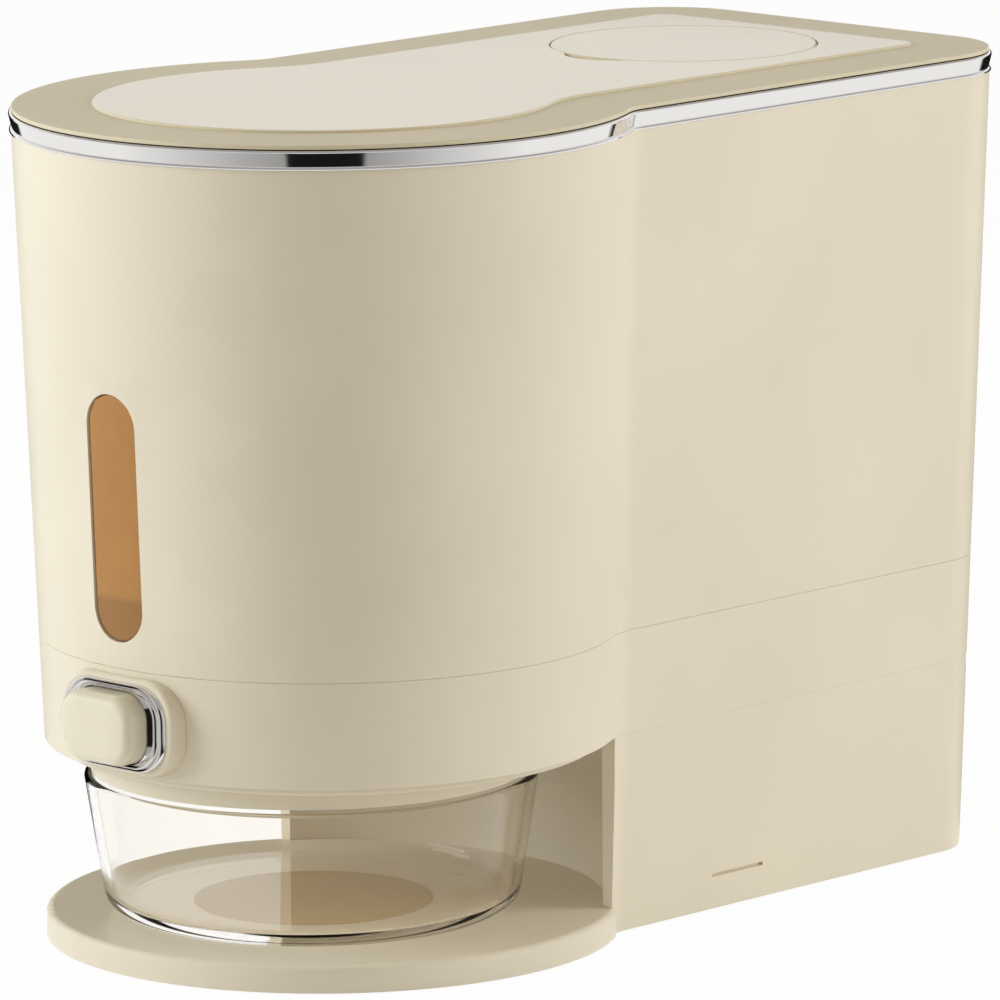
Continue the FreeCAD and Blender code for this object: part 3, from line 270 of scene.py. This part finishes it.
def lid_abs(hex_text):
    """Injection-moulded ABS from a two-finish mould: polished panel, spark-eroded rim.

    The panel mirrors the pale room at a glancing angle, and the rim stays softer; the rim's darker colour is
    partly its rougher finish and partly painted shade.
    """
    material = moulded("two_finish_abs_lid_painted_rim_shade", hex_text, 0.36, 0.5, 0.04)
    tree = material.node_tree
    step = sizes().panel_step
    panel = height_mask(tree, LID_HIGH.z - step, LID_HIGH.z - 0.4 * step)
    rim_gloss, panel_gloss = 0.5, 0.16
    gloss = add_node(tree, "ShaderNodeMapRange", {"To Min": rim_gloss, "To Max": panel_gloss},
                     Value=panel.outputs["Result"])
    tree.links.new(gloss.outputs["Result"], tree.nodes["Principled BSDF"].inputs["Roughness"])
    # Painted shade: the rim's base colour is darkened to 0.94 of the panel's, standing in for the shade that
    # the lighting leaves on the rim
    paint_shade_by_height(tree, panel, 0.94)
    return material


def amber_polystyrene(hex_text):
    """Translucent amber polystyrene, polished: deep colour, a thin gloss, and painted shade at the funnel's
    foot.
    """
    material, tree, shader = new_material("polished_amber_polystyrene")
    place = add_node(tree, "ShaderNodeTexCoord")
    flow = add_node(tree, "ShaderNodeTexNoise", {"Scale": 45.0, "Detail": 2.0},
                    Vector=place.outputs["Object"])
    ramp = add_node(tree, "ShaderNodeValToRGB", None, Fac=flow.outputs["Fac"])
    ramp.color_ramp.elements[0].color = tinted(hex_text, 0.9)
    ramp.color_ramp.elements[1].color = tinted(hex_text, 1.1)
    tree.links.new(ramp.outputs["Color"], shader.inputs["Base Color"])
    # Painted shade: the colour goes 0.72 darker below the funnel's foot, where the funnel behind the nearly
    # opaque window would darken it
    paint_shade_by_height(tree, height_mask(tree, FUNNEL_FOOT - MM, FUNNEL_FOOT + MM), 0.72)
    for socket, number in (("Roughness", 0.22), ("IOR", 1.59), ("Transmission Weight", 0.1)):
        shader.inputs[socket].default_value = number
    return material


def plated(hex_text):
    """Bright plated ABS: a mirror metal, with the faintest waviness of the plastic below."""
    material, tree, shader = new_material("bright_plated_abs")
    place = add_node(tree, "ShaderNodeTexCoord")
    wave = add_node(tree, "ShaderNodeTexNoise", {"Scale": 90.0, "Detail": 1.0},
                    Vector=place.outputs["Object"])
    gloss = add_node(tree, "ShaderNodeMapRange", {"To Min": 0.04, "To Max": 0.09},
                     Value=wave.outputs["Fac"])
    bump = add_node(tree, "ShaderNodeBump", {"Strength": 0.04, "Distance": 0.2 * MM},
                    Height=wave.outputs["Fac"])
    tree.links.new(gloss.outputs["Result"], shader.inputs["Roughness"])
    tree.links.new(bump.outputs["Normal"], shader.inputs["Normal"])
    shader.inputs["Base Color"].default_value = linear(hex_text) + [1.0]
    shader.inputs["Metallic"].default_value = 1.0
    return material


def drawn_steel(name, hex_text, roughness):
    """Drawn or plated steel: soft metal gloss with fine lines along the wire."""
    material, tree, shader = new_material(name)
    place = add_node(tree, "ShaderNodeTexCoord")
    lines = add_node(tree, "ShaderNodeTexNoise", {"Scale": 900.0, "Detail": 2.0},
                     Vector=place.outputs["Object"])
    gloss = add_node(tree, "ShaderNodeMapRange", {"To Min": roughness * 0.8, "To Max": roughness * 1.25},
                     Value=lines.outputs["Fac"])
    tree.links.new(gloss.outputs["Result"], shader.inputs["Roughness"])
    shader.inputs["Base Color"].default_value = linear(hex_text) + [1.0]
    shader.inputs["Metallic"].default_value = 1.0
    return material


def pressed_glass(hex_text):
    """Clear pressed soda-lime glass with a fire-polished lip and slow ripples from the mould.

    The wall bends light little, as a thin even wall does, and its gloss comes from the polished coat.
    """
    material, tree, shader = new_material("pressed_soda_lime_glass")
    place = add_node(tree, "ShaderNodeTexCoord")
    ripple = add_node(tree, "ShaderNodeTexNoise", {"Scale": 40.0, "Detail": 1.0},
                      Vector=place.outputs["Object"])
    bump = add_node(tree, "ShaderNodeBump", {"Strength": 0.03, "Distance": 0.4 * MM},
                    Height=ripple.outputs["Fac"])
    tree.links.new(bump.outputs["Normal"], shader.inputs["Normal"])
    # Painted shade: seen edge on, the wall's colour turns grey, standing in for the dark line that refraction
    # and the longer way through the glass draw there
    edge = add_node(tree, "ShaderNodeLayerWeight", {"Blend": 0.5})
    ramp = add_node(tree, "ShaderNodeValToRGB", None, Fac=edge.outputs["Facing"])
    ramp.color_ramp.elements[0].color = linear(hex_text) + [1.0]
    ramp.color_ramp.elements[1].color = tinted("#6E685F", 1.0)
    ramp.color_ramp.elements[0].position, ramp.color_ramp.elements[1].position = 0.86, 0.98
    tree.links.new(ramp.outputs["Color"], shader.inputs["Base Color"])
    for socket, number in (("Roughness", 0.0), ("IOR", 1.1), ("Transmission Weight", 1.0),
                           ("Coat Weight", 0.26), ("Coat Roughness", 0.0), ("Coat IOR", 1.5)):
        shader.inputs[socket].default_value = number
    return material


# Rings and skins

def arc_points(cx, cy, radius, start, end, steps):
    return [(cx + radius * math.cos(start + (end - start) * i / steps),
             cy + radius * math.sin(start + (end - start) * i / steps)) for i in range(steps)]


def front_axis():
    """The front cylinder's axis in plan, from the base disc's own box."""
    return Vector((0, DISC_LOW.y + (DISC_HIGH.x - DISC_LOW.x) / 2, 0))


def keyhole_ring(inset, z):
    """The housing's outline at a height, set in by a distance, as points in order."""
    s = sizes()
    growth = s.wall_slope * (z - s.wall_foot) - inset
    front, side, reach = s.front_radius + growth, s.half_width + growth, s.rear_reach + growth
    corner, waist = s.rear_corner + growth, s.waist - growth
    y_waist = math.sqrt((front + waist) ** 2 - (side + waist) ** 2)
    turn = math.atan2(y_waist, side + waist)
    steps = {"front": 128, "waist": 12, "wall": 10, "corner": 16, "rear": 8}
    points = arc_points(0, 0, front, math.pi - turn, 2 * math.pi + turn, steps["front"])
    points += arc_points(side + waist, y_waist, waist, math.pi + turn, math.pi, steps["waist"])
    points += straight(side, y_waist, side, reach - corner, steps["wall"])
    points += arc_points(side - corner, reach - corner, corner, 0, math.pi / 2, steps["corner"])
    points += straight(side - corner, reach, corner - side, reach, steps["rear"])
    points += arc_points(corner - side, reach - corner, corner, math.pi / 2, math.pi, steps["corner"])
    points += straight(-side, reach - corner, -side, y_waist, steps["wall"])
    points += arc_points(-side - waist, y_waist, waist, 0, -turn, steps["waist"])
    axis = front_axis()
    return [Vector((axis.x + x, axis.y + y, z)) for x, y in points]


def straight(x0, y0, x1, y1, steps):
    return [(x0 + (x1 - x0) * i / steps, y0 + (y1 - y0) * i / steps) for i in range(steps)]


def circle_ring(centre, radius, z, steps=128):
    return [Vector((x, y, z)) for x, y in arc_points(centre.x, centre.y, radius, 0, FULL_TURN, steps)]


def rounded_ring(centre_z, width, height, corner, y, steps=14):
    """A rounded rectangle in the X-Z plane at one depth, seen from the front."""
    a, b, r = width / 2, height / 2, corner
    points = []
    quarter = math.pi / 2
    centres = ((a - r, b - r), (r - a, b - r), (r - a, r - b), (a - r, r - b))
    for number, (cx, cz) in enumerate(centres):
        for i in range(steps + 1):
            turn = quarter * (number + i / steps)
            points.append((cx + r * math.cos(turn), cz + r * math.sin(turn)))
    return [Vector((x, y, centre_z + z)) for x, z in points]


def skin(name, rings, loop=False, sharp=SHARP_EDGE):
    """A mesh over rings with equal counts, closed at both ends; loop joins the last ring to the first."""
    mesh = bmesh.new()
    rows = [[mesh.verts.new(p) for p in ring] for ring in rings]
    count = len(rows[0])
    pairs = list(zip(rows, rows[1:])) + ([(rows[-1], rows[0])] if loop else [])
    for low, high in pairs:
        for i in range(count):
            j = (i + 1) % count
            mesh.faces.new((low[i], low[j], high[j], high[i]))
    if not loop:
        mesh.faces.new(list(reversed(rows[0])))
        mesh.faces.new(rows[-1])
    bmesh.ops.recalc_face_normals(mesh, faces=mesh.faces)
    return finished(name, mesh, sharp)


def finished(name, mesh, sharp=SHARP_EDGE):
    """Shade a mesh smooth except at its sharp edges, weigh its normals by face, and place it in the scene."""
    for face in mesh.faces:
        face.smooth = True
    for edge in mesh.edges:
        edge.smooth = not (edge.is_manifold and edge.calc_face_angle(0) > sharp)
    data = bpy.data.meshes.new(name)
    mesh.to_mesh(data)
    mesh.free()
    item = bpy.data.objects.new(name, data)
    bpy.context.scene.collection.objects.link(item)
    weigh = item.modifiers.new("flat_face_normals", "WEIGHTED_NORMAL")
    weigh.keep_sharp = True
    return item


def eased(name, node, radius, chosen):
    """A construction node's own form with the convex edges that a test picks rounded over."""
    mesh = bmesh.new()
    mesh.from_mesh(frame["nodes"][node].data)
    bmesh.ops.remove_doubles(mesh, verts=mesh.verts, dist=0.001 * MM)
    bmesh.ops.dissolve_limit(mesh, angle_limit=math.radians(0.5), verts=mesh.verts, edges=mesh.edges)
    mesh.normal_update()
    least = math.radians(40)
    edges = [e for e in mesh.edges if e.is_manifold and e.is_convex and e.calc_face_angle(0) > least]
    bmesh.ops.bevel(mesh, geom=[e for e in edges if chosen(e)], offset=radius, segments=3, profile=0.5,
                    affect="EDGES", clamp_overlap=False)
    return finished(name, mesh)


def rimmed(name, node, radius, levels, lean=0.0):
    """A construction node's own form with the outer rims at some heights rounded over.

    Each level is a height and the way from the rim into the piece, 1 for up and -1 for down.
    """
    mesh = bmesh.new()
    mesh.from_mesh(frame["nodes"][node].data)
    bmesh.ops.remove_doubles(mesh, verts=mesh.verts, dist=0.001 * MM)
    for level, way in levels:
        for cut, _ in rounding(radius)[1:]:
            parts = mesh.verts[:] + mesh.edges[:] + mesh.faces[:]
            bmesh.ops.bisect_plane(mesh, geom=parts, dist=1e-7, plane_co=(0, 0, level + way * cut),
                                   plane_no=(0, 0, 1))
        mesh.normal_update()
        moves = []
        for v in mesh.verts:
            depth = way * (v.co.z - level)
            walls = [f for f in v.link_faces if leans(f, lean) and faces_out(f)]
            if walls and -1e-6 < depth < radius:
                normal = sum((f.normal * f.calc_area() for f in walls), Vector())
                normal.z = 0
                outward = math.sqrt(radius ** 2 - (radius - depth) ** 2) - radius
                moves.append((v, normal.normalized() * outward))
        for v, move in moves:
            v.co += move
    return finished(name, mesh)


def leans(face, lean):
    """Whether a face leans by a slope, given as the height of its normal."""
    return abs(face.normal.z - lean) < 0.004


def wall_lean():
    """The height of the housing walls' normals, which look down a little because the walls lean out."""
    return -math.sin(math.atan(sizes().wall_slope))


def faces_out(face):
    """Whether a face looks away from the housing's middle line."""
    middle = face.calc_center_median()
    spine = min(max(middle.y, front_axis().y), CAD_HIGH.y - 2 * sizes().half_width / 3)
    return face.normal.x * middle.x + face.normal.y * (middle.y - spine) > 0


def on_outer_wall(edge):
    """Whether an edge borders the housing's outer wall, which leans out by the wall slope."""
    return any(leans(face, wall_lean()) for face in edge.link_faces)


def above(height):
    """A test for edges that lie wholly above a height."""
    return lambda edge: min(v.co.z for v in edge.verts) > height


def rounding(radius, steps=6):
    """Pairs (share in, share up) of a quarter round from an upright side to a flat top."""
    return [(radius * (1 - math.cos(math.pi / 2 * i / steps)), radius * math.sin(math.pi / 2 * i / steps))
            for i in range(steps + 1)]


def swapped(pairs):
    return [(b, a) for a, b in pairs]


def dress(item, slot, body, *nodes):
    """Give a piece its finish, its body and the nodes that it stands for."""
    item.data.materials.clear()
    item.data.materials.append(MATERIALS[slot])
    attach(item, body)
    if nodes:
        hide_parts(*nodes)
    return item


def dress_node(node):
    """Give a construction node that shows as it is the finish of its own slot."""
    slots = {part["node"]: part["material_slot"] for part in frame["record"]["subparts"]}
    item = frame["nodes"][node]
    item.data.materials.clear()
    item.data.materials.append(MATERIALS[slots[node]])
    for face in item.data.polygons:
        face.material_index = 0


MATERIALS = {}


# Operators

class DISPENSER_OT_finishes(bpy.types.Operator):
    """Make the materials and give every construction node its own"""
    bl_idname = "dispenser.finishes"
    bl_label = "Finishes"

    def execute(self, context):
        MATERIALS.update(make_materials())
        for node in frame["nodes"]:
            dress_node(node)
        return {"FINISHED"}


class DISPENSER_OT_housing(bpy.types.Operator):
    """Round the rims of the shells and the cover, so that their joints read as fine shadowed grooves"""
    bl_idname = "dispenser.housing"
    bl_label = "Housing shells"

    def execute(self, context):
        s = sizes()
        for node, levels in (("lower_shell", [(SEAM, -1), (BAND_LOW, 1)]),
                             ("upper_shell", [(SEAM, 1)])):
            item = rimmed(node + "_moulding", node, s.edge_round, levels, wall_lean())
            dress(item, "cream_shell", "housing", node)
        item = rimmed("under_cover_moulding", "under_cover", s.cover_round, [(BAND_LOW, -1), (COVER_LOW, 1)])
        dress(item, "cream_shell", "housing", "under_cover")
        return {"FINISHED"}


class DISPENSER_OT_trim(bpy.types.Operator):
    """Draw the plated band round the neck, with full rounds on its long edges"""
    bl_idname = "dispenser.trim"
    bl_label = "Plated trim"

    def execute(self, context):
        s = sizes()
        low, high, out = TRIM_LOW.z, TRIM_HIGH.z, -s.trim_proud
        quarter = rounding(s.trim_round)
        profile = [(s.trim_inside, low)]
        profile += [(out + s.trim_round - across, low + s.trim_round - up)
                    for across, up in reversed(swapped(quarter))]
        profile += [(out + across, high - s.trim_round + up) for across, up in quarter]
        profile.append((s.trim_inside, high))
        item = skin("trim_band_plated", [keyhole_ring(inset, z) for inset, z in profile], loop=True)
        dress(item, "plated_trim", "housing", "trim_band")
        return {"FINISHED"}


class DISPENSER_OT_lid(bpy.types.Operator):
    """Round the lid's rim, the edge of its panel and the seat of its round cap"""
    bl_idname = "dispenser.lid"
    bl_label = "Lid"

    def execute(self, context):
        item = eased("lid_moulding", "lid_cover", sizes().lid_round, above(LID_LOW.z + 0.8 * MM))
        dress(item, "cream_lid", "lid", "lid_cover")
        return {"FINISHED"}


class DISPENSER_OT_button(bpy.types.Operator):
    """Make the hollow push button with its crowned face, and the plated bezel with its two beads"""
    bl_idname = "dispenser.button"
    bl_label = "Push button"

    def execute(self, context):
        s = sizes()
        centre = (CAP_LOW.z + CAP_HIGH.z) / 2
        width, height = CAP_HIGH.x - CAP_LOW.x, CAP_HIGH.z - CAP_LOW.z
        front, back = CAP_LOW.y, CAP_HIGH.y
        deepest = 0.45 * height

        def ring(inset, y):
            corner = max(s.cap_corner - inset, 0.4 * MM)
            return rounded_ring(centre, width - 2 * inset, height - 2 * inset, corner, y)

        rings = [ring(deepest, front + s.cap_wall), ring(s.cap_wall + MM, front + s.cap_wall),
                 ring(s.cap_wall, front + s.cap_wall + MM), ring(s.cap_wall, back), ring(0, back)]
        for across, up in rounding(s.cap_round, 8):
            rings.append(ring(across, front + s.cap_crown + s.cap_round - up))
        for i in range(1, 6):
            share = i / 5
            inset = s.cap_round + share * (deepest - s.cap_round)
            rings.append(ring(inset, front + s.cap_crown * (1 - share) ** 2))
        dress(skin("button_cap_hollow", rings), "cream_button", "button", "button_cap")

        inner = Vector((width + 2 * s.bezel_gap, height + 2 * s.bezel_gap, s.cap_corner + s.bezel_gap))
        outer = Vector((BEZEL_HIGH.x - BEZEL_LOW.x, BEZEL_HIGH.z - BEZEL_LOW.z, s.bezel_corner))
        thick = BEZEL_HIGH.y - BEZEL_LOW.y
        # Share outwards and share of the thickness: a steep flank by the button, then the two beads
        groove = 0.1
        profile = [(0, 0), (0, 0.97), (0.25, groove)]
        # Each bead: where it starts, its width, its rise and where the groove after it lies
        for start, width_share, rise, end in ((0.26, 0.36, 0.9, 0.63), (0.65, 0.35, 0.75, 1)):
            for i in range(1, 10):
                swell = math.sin(math.pi * i / 10) ** 0.7
                profile.append((start + width_share * i / 10, groove + rise * swell))
            profile.append((end, groove))
        profile.append((1, 0))
        rings = []
        for share, rise in profile:
            w, h, corner = inner.lerp(outer, share)
            rings.append(rounded_ring(centre, w, h, corner, BEZEL_HIGH.y - thick * rise))
        item = skin("button_bezel_plated", rings, loop=True, sharp=math.radians(60))
        dress(item, "plated_trim", "housing", "button_bezel")
        return {"FINISHED"}


class DISPENSER_OT_spring(bpy.types.Operator):
    """Wind the return spring between the housing and the button; the real coils close up as the button is
    pressed, but these stay as wound
    """
    bl_idname = "dispenser.spring"
    bl_label = "Return spring"

    def execute(self, context):
        s = sizes()
        low, high = SPRING_LOW, SPRING_HIGH
        wire, centre = s.spring_wire / 2, (low + high) / 2
        coil, travel = (high.x - low.x) / 2 - wire, high.y - low.y - 2 * wire
        steps = 48 * SPRING_TURNS
        rings = []
        for i in range(steps + 1):
            turn = FULL_TURN * SPRING_TURNS * i / steps
            outward = Vector((math.cos(turn), 0, math.sin(turn)))
            middle = Vector((0, low.y + wire + travel * i / steps, centre.z)) + coil * outward
            rings.append([middle + wire * (math.cos(a) * outward + math.sin(a) * Vector((0, 1, 0)))
                          for a in (FULL_TURN * k / 12 for k in range(12))])
        item = skin("return_spring_wire", rings)
        item.data.materials.append(MATERIALS["spring_steel"])
        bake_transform(item)
        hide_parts("return_spring")
        return {"FINISHED"}


class DISPENSER_OT_window(bpy.types.Operator):
    """Round the front edge of the amber window"""
    bl_idname = "dispenser.window"
    bl_label = "Window"

    def execute(self, context):
        item = eased("window_lens_polished", "window_lens", 2 * sizes().edge_round, on_outer_wall)
        dress(item, "amber_clear", "housing", "window_lens")
        return {"FINISHED"}


class DISPENSER_OT_bowl(bpy.types.Operator):
    """Spin the glass bowl, with its heel, lip and thick floor"""
    bl_idname = "dispenser.bowl"
    bl_label = "Glass bowl"

    def execute(self, context):
        s = sizes()
        centre = (BOWL_LOW + BOWL_HIGH) / 2
        low, high, rim = BOWL_LOW.z, BOWL_HIGH.z, (BOWL_HIGH.x - BOWL_LOW.x) / 2
        flare = (rim - s.bowl_foot) / (high - low)
        heel, wall = s.bowl_corner, s.bowl_wall
        profile = [(0.1 * MM, low), (0.5 * (s.bowl_foot - heel), low)]
        lean = math.atan(flare)
        cx = s.bowl_foot + flare * heel - heel / math.cos(lean)
        for i in range(13):
            turn = -math.pi / 2 + (math.pi / 2 - lean) * i / 12
            profile.append((cx + heel * math.cos(turn), low + heel + heel * math.sin(turn)))
        for share in (0.4, 0.7, 0.93):
            z = low + (high - low) * share
            profile.append((s.bowl_foot + flare * (z - low), z))
        lip = wall / 2
        for i in range(9):
            turn = math.pi * i / 8
            profile.append((rim - lip - flare * lip + lip * math.cos(turn),
                            high - lip + lip * math.sin(turn)))
        inner = heel - wall
        floor = low + s.bowl_floor
        for share in (0.9, 0.6, 0.35):
            z = floor + (high - floor) * share
            profile.append((s.bowl_foot + flare * (z - low) - wall, z))
        cx = s.bowl_foot + flare * (s.bowl_floor + inner) - wall - inner / math.cos(lean)
        for i in range(13):
            turn = -lean - (math.pi / 2 - lean) * i / 12
            profile.append((cx + inner * math.cos(turn), floor + inner + inner * math.sin(turn)))
        profile += [(0.5 * s.bowl_foot, floor), (0.1 * MM, floor)]
        item = skin("bowl_glass_body", [circle_ring(centre, r, z, 160) for r, z in profile])
        # Clear glass lets the light through to the alcove behind it
        item.visible_shadow = item.visible_diffuse = False
        dress(item, "bowl_glass", "bowl", "glass_bowl")
        return {"FINISHED"}


class DISPENSER_OT_stage(bpy.types.Operator):
    """Set the pale floor, the soft studio lamps and the camera"""
    bl_idname = "dispenser.stage"
    bl_label = "Stage"

    def execute(self, context):
        make_floor()
        make_strip()
        make_lamps()
        make_world()
        make_camera()
        context.scene.view_settings.view_transform = "Standard"
        return {"FINISHED"}


def join_any(tree, path, names):
    """1 for a ray of any of the named kinds."""
    total = path.outputs[names[0]]
    for name in names[1:]:
        item = add_node(tree, "ShaderNodeMath", {"operation": "MAXIMUM"})
        tree.links.new(total, item.inputs[0])
        tree.links.new(path.outputs[name], item.inputs[1])
        total = item.outputs[0]
    return total


def staged(name, points, faces, material):
    data = bpy.data.meshes.new(name)
    data.from_pydata(points, [], faces)
    data.materials.append(material)
    item = bpy.data.objects.new(name, data)
    bpy.context.scene.collection.objects.link(item)
    return item


def make_floor():
    """A white painted floor, shown as white with a trace of the object's shadow."""
    material, tree, shader = new_material("painted_studio_floor")
    shader.inputs["Base Color"].default_value = linear(colours().backdrop) + [1.0]
    shader.inputs["Roughness"].default_value = 0.9
    bright = add_node(tree, "ShaderNodeEmission", {"Strength": 1.0})
    path = add_node(tree, "ShaderNodeLightPath")
    shown = join_any(tree, path, ("Is Camera Ray", "Is Glossy Ray", "Is Transmission Ray"))
    share = add_node(tree, "ShaderNodeMath", {"operation": "MULTIPLY"})
    share.inputs[1].default_value = 0.96
    tree.links.new(shown, share.inputs[0])
    mix = add_node(tree, "ShaderNodeMixShader")
    tree.links.new(share.outputs[0], mix.inputs[0])
    tree.links.new(shader.outputs[0], mix.inputs[1])
    tree.links.new(bright.outputs[0], mix.inputs[2])
    tree.links.new(mix.outputs[0], tree.nodes["Material Output"].inputs["Surface"])
    half = 6.0
    corners = [(-half, -half, 0), (half, -half, 0), (half, half, 0), (-half, half, 0)]
    staged("studio_floor", corners, [(0, 1, 2, 3)], material)


# Brightness of the reflector strip by degrees from the camera's side, to the left (negative) and the right
STRIP = [(-180, 0.01), (-139, 0.01), (-137, 1.0), (-75, 1.0), (-57, 0.82), (-41, 0.66), (-28, 0.5),
         (-12.6, 0.38), (-12.2, 0.01), (14.8, 0.01), (15.2, 0.38), (28, 0.5), (41, 0.66), (57, 0.82),
         (75, 1.0), (121, 1.0), (123, 0.01), (180, 0.01)]


def make_strip():
    """A cloth strip round the object that only mirrors show: black before and behind, white at the sides."""
    material = bpy.data.materials.new("flag_and_reflector_cloth")
    material.use_nodes = True
    tree = material.node_tree
    tree.nodes.clear()
    place = add_node(tree, "ShaderNodeTexCoord")
    turn = add_node(tree, "ShaderNodeTexGradient", {"gradient_type": "RADIAL"},
                    Vector=place.outputs["Object"])
    ramp = add_node(tree, "ShaderNodeValToRGB", None, Fac=turn.outputs["Fac"])
    stops = ramp.color_ramp.elements
    while len(stops) < len(STRIP):
        stops.new(0.5)
    for stop, (degrees, _) in zip(stops, STRIP):
        stop.position = 0.5 + degrees / 360
    for stop, (_, bright) in zip(stops, STRIP):
        stop.color = (bright, bright, bright, 1)
    glow = add_node(tree, "ShaderNodeEmission", {"Strength": 1.0}, Color=ramp.outputs["Color"])
    out = add_node(tree, "ShaderNodeOutputMaterial")
    tree.links.new(glow.outputs[0], out.inputs["Surface"])
    material.cycles.emission_sampling = "NONE"
    steps = 180
    # Radius and height: a flat ring on the floor, then the upright strip
    profile = [(0.12, 0.001), (0.35, 0.002), (0.35, 0.26)]
    points = [(x, y, z) for radius, z in profile for x, y in arc_points(0, 0, radius, 0, FULL_TURN, steps)]
    faces = [(row + i, row + (i + 1) % steps, row + steps + (i + 1) % steps, row + steps + i)
             for row in (0, steps) for i in range(steps)]
    strip = staged("reflector_strip", points, faces, material)
    strip.location = front_axis()
    strip.rotation_euler = (0, 0, math.radians(CAMERA_SIDE))
    for kind in ("camera", "diffuse", "shadow", "transmission", "volume_scatter"):
        setattr(strip, "visible_" + kind, False)


def lamp(name, place, aim, size, power, tint):
    data = bpy.data.lights.new(name, "AREA")
    data.shape, data.size, data.size_y = "RECTANGLE", size[0], size[1]
    data.energy = power
    data.color = tint
    item = bpy.data.objects.new(name, data)
    item.location = place
    item.rotation_euler = (Vector(aim) - Vector(place)).to_track_quat("-Z", "Y").to_euler()
    item.visible_glossy = False
    bpy.context.scene.collection.objects.link(item)
    return item


def make_lamps():
    """Two tall softboxes beside the camera's line, so that the round front falls off to its middle."""
    aim, size = (0, 0, 0.12), (0.9, 1.1)
    lamp("left_softbox", (-1.1, -1.25, 0.75), aim, size, 21.5, (0.86, 0.94, 1.0))
    lamp("right_softbox", (1.26, 1.1, 0.75), aim, size, 16.0, (0.9, 0.95, 1.0))


def make_world():
    """A softly warm room: white where the camera or the glass sees it, and dimmer high up in mirrors."""
    world = bpy.data.worlds.new("studio_world")
    world.use_nodes = True
    tree = world.node_tree
    ground = tree.nodes["Background"]
    ground.inputs["Color"].default_value = (1.0, 0.91, 0.74, 1)
    ground.inputs["Strength"].default_value = 0.45
    seen = add_node(tree, "ShaderNodeBackground", {"Strength": 1.0})
    seen.inputs["Color"].default_value = (1, 1, 1, 1)
    place = add_node(tree, "ShaderNodeTexCoord")
    split = add_node(tree, "ShaderNodeSeparateXYZ", None, Vector=place.outputs["Generated"])
    heights = {"From Min": 0.25, "From Max": 0.6, "To Min": 1.0, "To Max": 0.4}
    fade = add_node(tree, "ShaderNodeMapRange", heights, Value=split.outputs["Z"])
    mirrored = add_node(tree, "ShaderNodeBackground", None, Strength=fade.outputs["Result"])
    mirrored.inputs["Color"].default_value = (1, 1, 1, 1)
    path = add_node(tree, "ShaderNodeLightPath")
    shown = join_any(tree, path, ("Is Camera Ray", "Is Transmission Ray"))
    by_gloss = add_node(tree, "ShaderNodeMixShader")
    tree.links.new(path.outputs["Is Glossy Ray"], by_gloss.inputs[0])
    tree.links.new(ground.outputs[0], by_gloss.inputs[1])
    tree.links.new(mirrored.outputs[0], by_gloss.inputs[2])
    mix = add_node(tree, "ShaderNodeMixShader")
    tree.links.new(shown, mix.inputs[0])
    tree.links.new(by_gloss.outputs[0], mix.inputs[1])
    tree.links.new(seen.outputs[0], mix.inputs[2])
    tree.links.new(mix.outputs[0], tree.nodes["World Output"].inputs["Surface"])
    bpy.context.scene.world = world


def make_camera():
    """The camera that matches the photograph's viewpoint, with its small roll."""
    data = bpy.data.cameras.new("camera")
    data.sensor_width, data.lens = 36.0, 331.57
    data.clip_start, data.clip_end = 0.05, 50.0
    item = bpy.data.objects.new("camera", data)
    place, aim = Vector((1.85508, -1.90913, 0.61241)), Vector((0.02396, -0.01693, 0.12345))
    roll = math.radians(-0.4865)
    turn = (aim - place).to_track_quat("-Z", "Y").to_matrix().to_4x4()
    item.matrix_world = Matrix.Translation(place) @ turn @ Matrix.Rotation(roll, 4, "Z")
    bpy.context.scene.collection.objects.link(item)
    bpy.context.scene.camera = item


STEPS = ["finishes", "housing", "trim", "lid", "button", "spring", "window", "bowl", "stage"]


class DISPENSER_PT_panel(bpy.types.Panel):
    """The steps that build the dispenser, in order"""
    bl_label = "Rice dispenser"
    bl_space_type = "VIEW_3D"
    bl_region_type = "UI"
    bl_category = "Dispenser"

    def draw(self, context):
        for step in STEPS:
            self.layout.operator("dispenser." + step)
        for group in (context.scene.dispenser_sizes, context.scene.dispenser_colours):
            for name in group.bl_rna.properties.keys():
                if name not in ("rna_type", "name"):
                    self.layout.prop(group, name)


CLASSES = (DispenserSizes, DispenserColours, DISPENSER_OT_finishes, DISPENSER_OT_housing, DISPENSER_OT_trim,
           DISPENSER_OT_lid, DISPENSER_OT_button, DISPENSER_OT_spring, DISPENSER_OT_window, DISPENSER_OT_bowl,
           DISPENSER_OT_stage, DISPENSER_PT_panel)


def register():
    for item in CLASSES:
        bpy.utils.register_class(item)
    bpy.types.Scene.dispenser_sizes = PointerProperty(type=DispenserSizes)
    bpy.types.Scene.dispenser_colours = PointerProperty(type=DispenserColours)


def unregister():
    del bpy.types.Scene.dispenser_sizes
    del bpy.types.Scene.dispenser_colours
    for item in reversed(CLASSES):
        bpy.utils.unregister_class(item)


def main():
    register()
    for step in STEPS:
        getattr(bpy.ops.dispenser, step)()


if __name__ == "__main__":
    main()
